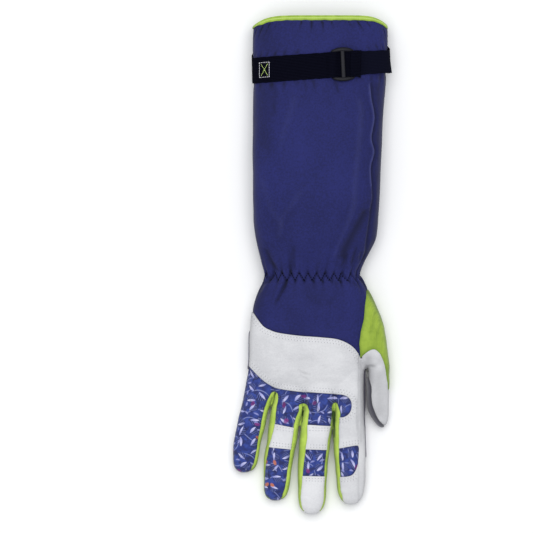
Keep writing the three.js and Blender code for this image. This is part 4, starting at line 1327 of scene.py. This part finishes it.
def walk(points, pitch):
    """Middles and directions at equal steps along a line in plan."""
    x, y = np.transpose(points)
    run = run_along(x, y)
    steps = np.arange(pitch / 2, run[-1], pitch)
    here, ahead, behind = (
        np.column_stack([np.interp(steps + shift, run, x), np.interp(steps + shift, run, y)])
        for shift in (0, 0.4, -0.4)
    )
    return here, ahead - behind


def beside(points, distance):
    """A line in plan moved to the right of its direction."""
    along = np.gradient(np.array(points, float), axis=0)
    along /= np.linalg.norm(along, axis=1, keepdims=True)
    return points + distance * np.column_stack([along[:, 1], -along[:, 0]])


def raised(points, distance):
    """A line in plan moved along Y."""
    return np.add(points, [0, distance])


def topstitch(target, line, thread, toward):
    """Stitches laid on a panel along a line in plan, from above or below, and beside pale ones dark marks:
    painted shade of their needle holes.
    """
    tree, faces, away = target
    start_z = CLEAR_ABOVE if toward < 0 else CLEAR_BELOW
    for (x, y), (dx, dy) in zip(*walk(line, PITCH)):
        found = struck(tree, Vector((x, y, start_z)), Vector((0, 0, toward)))
        if found is None or away[faces[found[2]]].min() < SEAM_MARGIN or abs(found[1].z) < 0.25:
            continue
        hit, normal, _ = found
        direction = laid_flat(Vector((dx, dy, 0)).normalized(), normal)
        place = hit - normal * STITCH_SINK
        sew(thread, place, direction, normal, STITCH_LENGTH)
        # a dark mark beside each pale stitch, painted shade standing in for its needle hole
        if thread == "pale":
            sew("hole_shade", place + direction * (PITCH / 2), direction, normal, 0.95, 0.62)


def stitches():
    made = []
    for thread, rows in THREADS.items():
        points, faces = [], []
        for k, (place, direction, normal, length, width) in enumerate(rows):
            axes = np.array([direction, np.cross(normal, direction), normal])
            points.append(np.array(place) + STITCH_POINTS * [length, width, width * 0.8] @ axes)
            faces.append(STITCH_FACES + k * len(STITCH_POINTS))
        points, faces = np.concatenate(points), np.concatenate(faces).tolist()
        made.append(finish_mesh(new_object("stitches_" + thread, points, faces)))
    return made


back_leather, patches_below = surface(LEATHER), surface(sorted(OVERLAID))
for distance in (1.9, 4.3):
    for line in (
        beside(KNUCKLE_TOP_EDGE, distance),
        beside(PRINT_TOP_EDGE, -distance),
        beside(INDEX_PRINT_EDGE, -distance),
        raised([[-34, -143.8], [-15, -146.6]], -distance),
        raised([[-40, -164], [-12, -167.2]], distance),
        raised([[-10, -144.6], [18, -145.6]], -distance),
        raised([[-12, -166.2], [18, -167.2]], distance),
        raised([[-16, -190.2], [17, -191]], -distance),
    ):
        topstitch(back_leather, line, "pale", -1)
for distance in (1.6, 4.0):
    for line in (
        raised([[-62, -76.5], [21, -76.5]], -distance),
        raised([[-62, -112], [-28, -113.5], [29, -116.5]], distance),
        beside(PATCH_SEAM[::-1], distance),
        beside([[26, -117.5], [32.6, -140], [36, -174]], -distance - 1),
        raised([[22, -174.6], [48, -174.6]], -distance),
        raised([[-10, -188.8], [12, -188.8]], -distance),
        raised([[-41, -177.8], [-18, -177.8]], -distance),
        raised([[-72, -151.7], [-44, -151.7]], -distance),
        raised([[50, -116], [64, -113]], -distance),
    ):
        topstitch(patches_below, line, "ash", 1)


def zigzag_thread(count=ZIGZAGS * 8):
    """Dark thread along the elastic's zigzag, on the cuff's own surface."""
    tree, _, _ = surface(["cuff_back", "cuff_front"])
    turns = (np.arange(count) + 0.5) / count
    size = size_at(TRUNK, WAIST_Y)
    outside, inside = (outline(size, turns, grow) for grow in (14, -8))
    level = zigzag_level(turns, inside[0])
    climb = zigzag_level(turns + 0.002, inside[0]) - zigzag_level(turns - 0.002, inside[0])
    upward = Vector((0, 1, 0))
    for k in range(count):
        start, end = (Vector((x[k], level[k], z[k])) for x, z in (outside, inside))
        found = struck(tree, start, (end - start).normalized())
        if found is not None:
            hit, normal, _ = found
            way_round = upward.cross(normal).normalized() * (0.004 * ZIGZAGS * ZIGZAG_SPACING)
            direction = laid_flat(upward * float(climb[k]) + way_round, normal)
            sew("navy", hit - normal * 0.05, direction, normal, 2.4, 1.0)


def tape_stitches(count=132):
    """A row along each side of the edge tape."""
    turns = (np.arange(count) + 0.5) / count
    top = edge_level(on_cuff(EDGE_Y, turns)[:, 0])
    for lift, facing in ((0.98, 1), (-2.32, -1)):
        places, ahead = (off_cuff(top - 1.5, turns + step, np.full(count, lift)) for step in (0, 0.001))
        for place, front_place, normal in zip(places, ahead, cuff_normal(top, turns) * facing):
            direction = (front_place - place) / np.linalg.norm(front_place - place)
            sew("green", place, direction, normal, 1.6, 0.45)


def strap_stitches():
    """A sewn box with a cross in it where the webbing is held to the cuff."""

    def spot(x, across, raise_by):
        turn = turn_at(x)
        y = strap_level(turn) + across
        return off_cuff(y, turn, strap_lift(turn) + PATCH + raise_by), cuff_normal(y, turn)

    def row(thread, start, end, raise_by):
        way = np.subtract(end, start) / np.linalg.norm(np.subtract(end, start)) * ahead_by
        for x, across in walk([start, end], pitch)[0]:
            place, normal = spot(x, across, raise_by)
            ahead, _ = spot(x + way[0], across + way[1], raise_by)
            sew(thread, Vector(place), Vector(ahead - place).normalized(), Vector(normal), length, width)

    pitch, length, width, ahead_by = 1.5, 1.15, 0.6, 0.3
    left, right, low, high, inset = -46.4, -38.0, -6.6, 6.6, 1.4
    corners = [(left, low), (right, low), (right, high), (left, high)]
    for a, b in zip(corners, corners[1:] + corners[:1]):
        row("pale", a, b, 0.0)
    row("green", (left + inset, low + inset), (right - inset, high - inset), 0.05)
    row("green", (left + inset, high - inset), (right - inset, low + inset), 0.05)


zigzag_thread()
tape_stitches()
strap_stitches()
thread_objects = stitches()


# Looks
class Value:
    """A value in a material's nodes, for plain arithmetic."""

    def __init__(self, look, socket):
        self.look, self.socket = look, socket

    def __add__(self, other):
        return self.look.math("ADD", self, other)

    def __sub__(self, other):
        return self.look.math("SUBTRACT", self, other)

    def __rsub__(self, other):
        return self.look.math("SUBTRACT", other, self)

    def __mul__(self, other):
        return self.look.math("MULTIPLY", self, other)

    def __truediv__(self, other):
        return self.look.math("DIVIDE", self, other)

    def __abs__(self):
        return self.look.math("ABSOLUTE", self, 0.0)


class Look:
    """A material made of nodes, with the plain values set on the shader itself."""

    def __init__(self, name, roughness, **fixed):
        self.material = bpy.data.materials.new(name)
        self.material.use_nodes = True
        self.tree = self.material.node_tree
        self.shader = self.tree.nodes["Principled BSDF"].inputs
        self.shader["Roughness"].default_value = roughness
        for key, value in fixed.items():
            self.shader[key.replace("_", " ")].default_value = value
        self.mm = self.scaled(self.node("ShaderNodeTexCoord", "Object", {}), 1 / MM)

    def node(self, kind, output, inputs, **settings):
        """One output of a new node, or several in a list."""
        made = self.tree.nodes.new(kind)
        for key, value in settings.items():
            setattr(made, key, value)
        for key, value in inputs.items():
            if isinstance(value, Value):
                self.tree.links.new(value.socket, made.inputs[key])
            else:
                made.inputs[key].default_value = value
        if isinstance(output, list):
            return [Value(self, made.outputs[key]) for key in output]
        return Value(self, made.outputs[output])

    def math(self, operation, a, b):
        return self.node("ShaderNodeMath", 0, {0: a, 1: b}, operation=operation)

    def vector(self, operation, a, b):
        return self.node("ShaderNodeVectorMath", "Vector", {0: a, 1: b}, operation=operation)

    def scaled(self, vector, scale):
        return self.node("ShaderNodeVectorMath", "Vector", {0: vector, "Scale": scale}, operation="SCALE")

    def axes(self, vector=None):
        return self.node("ShaderNodeSeparateXYZ", ["X", "Y", "Z"], {0: vector or self.mm})

    def noise(self, scale, detail, rough, stretch=None, vector=None):
        """Noise from 0 to 1 with features about scale millimetres across."""
        vector = vector or self.mm
        if stretch:
            vector = self.vector("MULTIPLY", vector, stretch)
        inputs = {"Vector": vector, "Scale": 1 / scale, "Detail": detail, "Roughness": rough}
        return self.node("ShaderNodeTexNoise", "Fac", inputs)

    def mix(self, share, a, b):
        inputs = {0: share, 6: a, 7: b}
        return self.node("ShaderNodeMix", 2, inputs, data_type="RGBA", blend_type="MIX", clamp_factor=True)

    def step(self, value, low, high):
        inputs = {"Value": value, "From Min": low, "From Max": high}
        return self.node("ShaderNodeMapRange", 0, inputs, interpolation_type="SMOOTHSTEP")

    def spread(self, share, dark, light):
        """From the dark colour to the light one over the middle of a noise's range."""
        return self.mix(self.step(share, 0.3, 0.7), dark, light)

    def stored(self, name):
        return self.node("ShaderNodeAttribute", "Fac", {}, attribute_name=name)

    def wave(self, value, period):
        """0 to 1 and back over each period of a value in millimetres."""
        return self.math("SINE", value * (FULL_TURN / period), 0.0) * 0.5 + 0.5

    def bump(self, height, distance, strength=1.0, under=None):
        inputs = {"Height": height, "Distance": distance * MM, "Strength": strength}
        if under is not None:
            inputs["Normal"] = under
        return self.node("ShaderNodeBump", "Normal", inputs)

    def done(self, colour, normal, roughness=None):
        self.tree.links.new(colour.socket, self.shader["Base Color"])
        self.tree.links.new(normal.socket, self.shader["Normal"])
        if roughness is not None:
            self.tree.links.new(roughness.socket, self.shader["Roughness"])
        return self.material


def rgb(*shown):
    """A colour given as it shows on screen, 0 to 255."""
    shares = [value / 255 for value in shown]
    return (*[c / 12.92 if c <= 0.04045 else ((c + 0.055) / 1.055) ** 2.4 for c in shares], 1)


def darker(colour, share):
    return (*[c * share for c in colour[:3]], 1)


BLACK = (0, 0, 0, 1)


def woven(name, dark, light, thread):
    look = Look(name, 0.8, Sheen_Weight=0.06, Sheen_Roughness=0.5, Specular_IOR_Level=0.25)
    x, y, z = look.axes()
    mottle = look.noise(1.7, 2, 0.65)
    colour = look.spread(look.noise(38, 3, 0.55, (1, 0.6, 1)) * 0.4 + mottle * 0.6, dark, light)
    wobble = look.noise(3, 1, 0.5) * 0.5
    weft, warp = look.wave(y + wobble, thread), look.wave(x + z * 0.7 + wobble, thread * 1.15)
    cloth = weft * 0.62 + warp * 0.38
    colour = look.mix((1 - cloth) * 0.32, colour, BLACK)
    # painted shade near each panel's border and along its folds, and painted highlight where the stored
    # shading is below 0
    colour = look.mix(look.stored("border") * 0.3, colour, BLACK)
    colour = look.mix(look.stored("fold") * 0.75, colour, (0.004, 0.005, 0.026, 1))
    colour = look.mix(look.stored("fold") * -1, colour, rgb(96, 102, 156))
    normal = look.bump(cloth, 0.07, 0.8, look.bump(look.noise(7, 3, 0.6), 0.35))
    return look.done(colour, normal, mottle * 0.12 + 0.74)


def leather(name, dark, light):
    look = Look(name, 0.66, Sheen_Weight=0.08)
    fine = look.noise(1.4, 3, 0.65)
    colour = look.spread(look.noise(30, 3, 0.55) * 0.6 + fine * 0.4, dark, light)
    # painted shade near each panel's border and in its folds
    colour = look.mix(look.stored("border") * 0.2, colour, darker(dark, 0.72))
    colour = look.mix(look.stored("fold"), colour, darker(dark, 0.5))
    pores = look.node(
        "ShaderNodeTexVoronoi", "Distance", {"Vector": look.mm, "Scale": 1 / 0.9}, feature="SMOOTH_F1"
    )
    normal = look.bump(fine, 0.1, 0.8, look.bump(look.noise(5, 4, 0.6, (0.6, 1.5, 1)), 0.5, 0.8))
    return look.done(colour, look.bump(pores, 0.07, 0.5, normal), fine * 0.16 + 0.58)


def knitted(name, dark, light, rib, edge):
    look = Look(name, 0.72, Sheen_Weight=0.15, Sheen_Roughness=0.5)
    x, y, z = look.axes()
    wobble = look.noise(4, 2, 0.5) * 0.8
    ribs, courses = look.wave(x + z * 0.8 + wobble, rib), look.wave(y + wobble, rib * 0.8)
    knit = (ribs + 0.3) * (courses * 0.5 + 0.5)
    colour = look.spread(look.noise(12, 3, 0.6), dark, light)
    colour = look.mix((1 - knit) * 0.22, colour, (0.03, 0.09, 0, 1))
    # painted shade near each panel's border, by the share edge, and in its folds
    colour = look.mix(look.stored("border") * edge, colour, (0.06, 0.14, 0.005, 1))
    colour = look.mix(look.stored("fold"), colour, (0.035, 0.085, 0.004, 1))
    return look.done(colour, look.bump(knit, 0.12, 0.8, look.bump(look.noise(6, 3, 0.6), 0.5)))


def suede(name, dark, light):
    look = Look(name, 0.92, Sheen_Weight=0.35, Sheen_Roughness=0.6)
    fuzz = look.noise(0.8, 3, 0.7)
    colour = look.spread(look.noise(9, 4, 0.65) * 0.5 + fuzz * 0.5, dark, light)
    # painted shade near each patch's border
    colour = look.mix(look.stored("border") * 0.85, colour, darker(dark, 0.4))
    return look.done(colour, look.bump(fuzz, 0.16, 0.8, look.bump(look.noise(5, 3, 0.6), 0.4, 0.7)))


def webbing(name):
    look = Look(name, 0.95, Specular_IOR_Level=0.02)
    height = look.wave(look.stored("across"), 1.35) * 0.65 + look.wave(look.stored("along"), 0.9) * 0.35
    colour = look.mix(height * (look.noise(1.6, 3, 0.6) + 0.5), rgb(2, 2, 7), rgb(14, 15, 28))
    colour = look.mix(look.stored("drawn") * 0.25, colour, rgb(24, 26, 44))
    return look.done(colour, look.bump(height, 0.16, 0.9, look.bump(look.noise(8, 2, 0.5), 0.5)))


def plastic(name):
    look = Look(name, 0.5, Specular_IOR_Level=0.2)
    scuffs = look.noise(3.5, 4, 0.7, (0.4, 2.2, 1))
    colour = look.mix(look.step(scuffs, 0.45, 0.75), rgb(9, 9, 18), rgb(21, 21, 33))
    return look.done(colour, look.bump(look.noise(0.7, 3, 0.6), 0.03, 0.6), scuffs * 0.25 + 0.36)


def tape(name, dark, light, pitch, stripe=None):
    """Woven tape. A stripe and a dark lip follow its stored distance below the edge it is folded over."""
    look = Look(name, 0.74, Sheen_Weight=0.1)
    x, y, z = look.axes()
    cloth = look.wave(x + z * 0.8, pitch) * 0.6 + look.wave(y, pitch * 0.8) * 0.4
    soft = look.noise(5, 3, 0.6)
    colour = look.spread(soft, dark, light)
    if stripe:
        down = look.stored("down")
        colour = look.mix(1 - look.step(abs(down - 1.2), 0.2, 0.8), colour, stripe)
        colour = look.mix(look.step(down, 2.4, 3.4) * 0.5, colour, darker(dark, 0.35))
    colour = look.mix((1 - cloth) * 0.2, colour, darker(dark, 0.4))
    return look.done(colour, look.bump(cloth, 0.1, 0.8, look.bump(soft, 0.3)))


def thread_look(name, dark, light):
    look = Look(name, 0.8, Specular_IOR_Level=0.1)
    twist = look.noise(0.5, 1, 0.5)
    return look.done(look.mix(twist, dark, light), look.bump(twist, 0.06))


def printed(name):
    """Blue cloth with scattered half-pale, half-hatched leaves, fine stems and small bright berries."""
    look = Look(name, 0.8, Sheen_Weight=0.1)
    x, y, z = look.axes()
    plan = look.node("ShaderNodeCombineXYZ", 0, {0: x + z * 0.25, 1: y})
    warp = look.node("ShaderNodeTexNoise", "Color", {"Vector": plan, "Scale": 1 / 16, "Detail": 1.0})
    bent = look.vector("ADD", plan, look.scaled(look.vector("SUBTRACT", warp, (0.5, 0.5, 0.5)), 5.0))

    def motif(cell, offset, randomness):
        """Coordinates in millimetres inside scattered cells, turned at random, and each cell's own share."""
        moved = look.scaled(look.vector("ADD", bent, offset), 1 / cell)
        inputs = {"Vector": moved, "Scale": 1.0, "Randomness": randomness}
        colour, position = look.node(
            "ShaderNodeTexVoronoi", ["Color", "Position"], inputs, voronoi_dimensions="2D", feature="F1"
        )
        turn, share = look.node("ShaderNodeSeparateColor", ["Red", "Green"], {0: colour})
        local = look.scaled(look.vector("SUBTRACT", moved, position), cell)
        inputs = {"Vector": local, "Angle": turn * FULL_TURN}
        turned = look.node("ShaderNodeVectorRotate", 0, inputs, rotation_type="Z_AXIS")
        return *look.axes(turned)[:2], share

    def lay(ground, shape, colour, strength):
        return look.mix(shape * strength, ground, colour)

    def bowed(x, y, bend):
        """Distance off a bowed middle line."""
        return y - x * x * bend

    def leaf(x, off, half_length, half_width):
        """A leaf pointed at both ends, on a bowed middle line."""
        along = x / half_length
        return look.step((1 - along * along) * half_width - abs(off), -0.15, 0.25)

    ground = look.step(look.noise(6, 3, 0.6, vector=plan), 0.35, 0.65)
    ground = look.mix(ground, rgb(28, 44, 116), rgb(48, 70, 154))
    blotch = look.step(look.noise(5, 2, 0.5, vector=look.vector("ADD", plan, (91, 37, 0))), 0.5, 0.62)
    ground = lay(ground, blotch, rgb(28, 34, 86), 0.8)
    # stems
    u, v, _ = motif(13.0, (5, 3, 0), 0.6)
    ground = lay(ground, 1 - look.step(abs(bowed(u, v, 0.05)), 0.2, 0.6), rgb(150, 160, 215), 0.6)
    # leaves: one half pale, the other dark and hatched
    u, v, _ = motif(10.2, (0, 0, 0), 0.42)
    off = bowed(u, v, 0.045)
    under = leaf(u, off + 0.5, 4.4, 3.1)
    ground = lay(ground, under, rgb(26, 31, 80), 0.85)
    ground = lay(ground, under * look.step(look.wave(u + v * 0.5, 1.6), 0.55, 0.9), rgb(104, 120, 196), 0.75)
    pale = look.mix(look.step(u, -3.5, 3.5), rgb(152, 156, 216), rgb(204, 204, 242))
    ground = look.mix(leaf(u, off, 4.4, 2.35) * look.step(off, 0.1, 0.5), ground, pale)
    # smaller leaves between
    u, v, share = motif(8.6, (31, 17, 0), 0.6)
    small = leaf(u, bowed(u, v, 0.08), 2.3, 0.85) * look.step(share, 0.55, 0.6)
    ground = lay(ground, small, rgb(150, 154, 214), 0.8)
    # berries
    u, v, share = motif(21.0, (12, 44, 0), 0.9)
    across, down = u / 2.3, v / 1.5
    berry = 1 - look.step(look.math("SQRT", across * across + down * down, 0.0), 0.75, 1.25)
    berry_colour = look.mix(look.step(share, 0.62, 0.66), rgb(128, 40, 124), rgb(206, 118, 70))
    ground = look.mix(berry * (look.wave(v, 0.9) * 0.4 + 0.6), ground, berry_colour)

    thread = look.wave(x + y, 0.8)
    ground = look.mix(thread * 0.12, ground, BLACK)
    # painted shade near each panel's border and in its creases
    ground = lay(ground, look.stored("border"), rgb(18, 20, 52), 0.45)
    ground = lay(ground, look.stored("fold"), rgb(14, 16, 46), 0.8)
    return look.done(ground, look.bump(thread, 0.08, 0.8, look.bump(look.noise(5, 3, 0.6), 0.7)))


# Slot, material and pieces
LOOKS = [
    ("navy_fabric", woven("navy_weave", rgb(24, 28, 82), rgb(37, 42, 110), 0.85),
     ["cuff_back", "cuff_front"]),
    ("green_fabric", knitted("green_knit", rgb(136, 162, 42), rgb(160, 186, 58), 1.1, 0.45),
     ["thumb_panel"]),
    # the side strips: a finer knit in a lighter copy of the green, painted light where the light falls on
    # them fully
    ("green_fabric", knitted("strip_knit_painted_light", rgb(182, 212, 80), rgb(204, 231, 98), 0.9, 0.3), STRIPS),
    ("white_leather", leather("white_grain", rgb(193, 193, 196), rgb(213, 213, 215)),
     ["palm", *LEATHER[:2]]),
    ("white_leather", leather("pale_grain", rgb(204, 204, 207), rgb(223, 223, 225)), LEATHER[2:]),
    ("printed_fabric", printed("petal_print"), [name for name in CARVED if name.endswith("_print")]),
    ("grey_suede", suede("grey_nap", rgb(100, 96, 120), rgb(120, 116, 142)), list(OVERLAID)),
    # the thumb's cap, whose inner side lies in shade: a darker copy of the grey suede, painted shade
    ("grey_suede", suede("grey_nap_painted_shade", rgb(62, 61, 72), rgb(82, 80, 94)), ["thumb_tip_cap"]),
    ("black_suede", suede("black_nap", rgb(14, 15, 24), rgb(28, 29, 40)), ["index_tip_cap"]),
    ("green_tape", tape("green_binding", rgb(140, 172, 46), rgb(164, 194, 66), 0.9, rgb(178, 204, 100)),
     ["edge_tape"]),
    ("black_webbing", webbing("ribbed_webbing"), ["strap"]),
    ("black_plastic", plastic("moulded_plastic"), ["buckle"]),
    ("white_tape", tape("white_twill", rgb(214, 212, 226), rgb(238, 237, 244), 0.8), ["hang_loop"]),
]
DRESSED = {name: (slot, material) for slot, material, names in LOOKS for name in names}
THREAD_LOOKS = {
    # dark marks of painted shade where the needle holes are
    "hole_shade": ("white_leather", thread_look("needle_hole_shade", rgb(132, 132, 137), rgb(160, 160, 164))),
    "pale": ("white_leather", thread_look("pale_thread", rgb(196, 196, 200), rgb(236, 236, 240))),
    "ash": ("grey_suede", thread_look("ash_thread", rgb(132, 128, 152), rgb(176, 172, 196))),
    "navy": ("navy_fabric", thread_look("navy_thread", rgb(5, 5, 26), rgb(11, 12, 40))),
    "green": ("green_tape", thread_look("green_thread", rgb(176, 204, 104), rgb(204, 226, 146))),
}
for name, made in objects.items():
    slot, material = DRESSED[name]
    made.data.materials.append(material)
    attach(made, "root")
    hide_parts(name)
for made in thread_objects:
    slot, material = THREAD_LOOKS[made.name.removeprefix("stitches_")]
    made.data.materials.append(material)
    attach(made, "root")

# Camera, floor and light, in metres
VIEW_CENTRE = (-0.041, -0.0018)
CAMERA_HEIGHT, GLOVE_LEVEL = 8.0, 0.018
FRAME_WIDTH = 0.480
camera_data = bpy.data.cameras.new("camera")
camera_data.sensor_width = 36
camera_data.lens = camera_data.sensor_width * (CAMERA_HEIGHT - GLOVE_LEVEL) / FRAME_WIDTH
camera = linked("camera", camera_data)
camera.location = (*VIEW_CENTRE, CAMERA_HEIGHT)
bpy.context.scene.camera = camera

FLOOR_REACH = 2500
corners = [[x * FLOOR_REACH, y * FLOOR_REACH, 0] for x, y in ((-1, -1), (1, -1), (1, 1), (-1, 1))]
floor = new_object("floor", corners, [[0, 1, 2, 3]])
floor_look = Look("floor", 0.9, Base_Color=(0.95, 0.95, 0.95, 1))
floor.data.materials.append(floor_look.material)

world = bpy.data.worlds.new("world")
world.use_nodes = True
background = world.node_tree.nodes["Background"].inputs
background["Color"].default_value = (0.95, 0.97, 1, 1)
background["Strength"].default_value = 0.62
bpy.context.scene.world = world


def area_light(name, location, size, power):
    """A square light that faces the glove."""
    data = bpy.data.lights.new(name, "AREA")
    data.size = size
    data.energy = power
    lamp = linked(name, data)
    lamp.location = location
    lamp.rotation_mode = "QUATERNION"
    lamp.rotation_quaternion = (-Vector(location)).to_track_quat("-Z", "Y")


area_light("key", (0.06, 0.4, 2.1), 1.7, 29)
area_light("fill", (-0.9, -0.6, 1.5), 1.4, 2)
bpy.context.scene.view_settings.view_transform = "Standard"
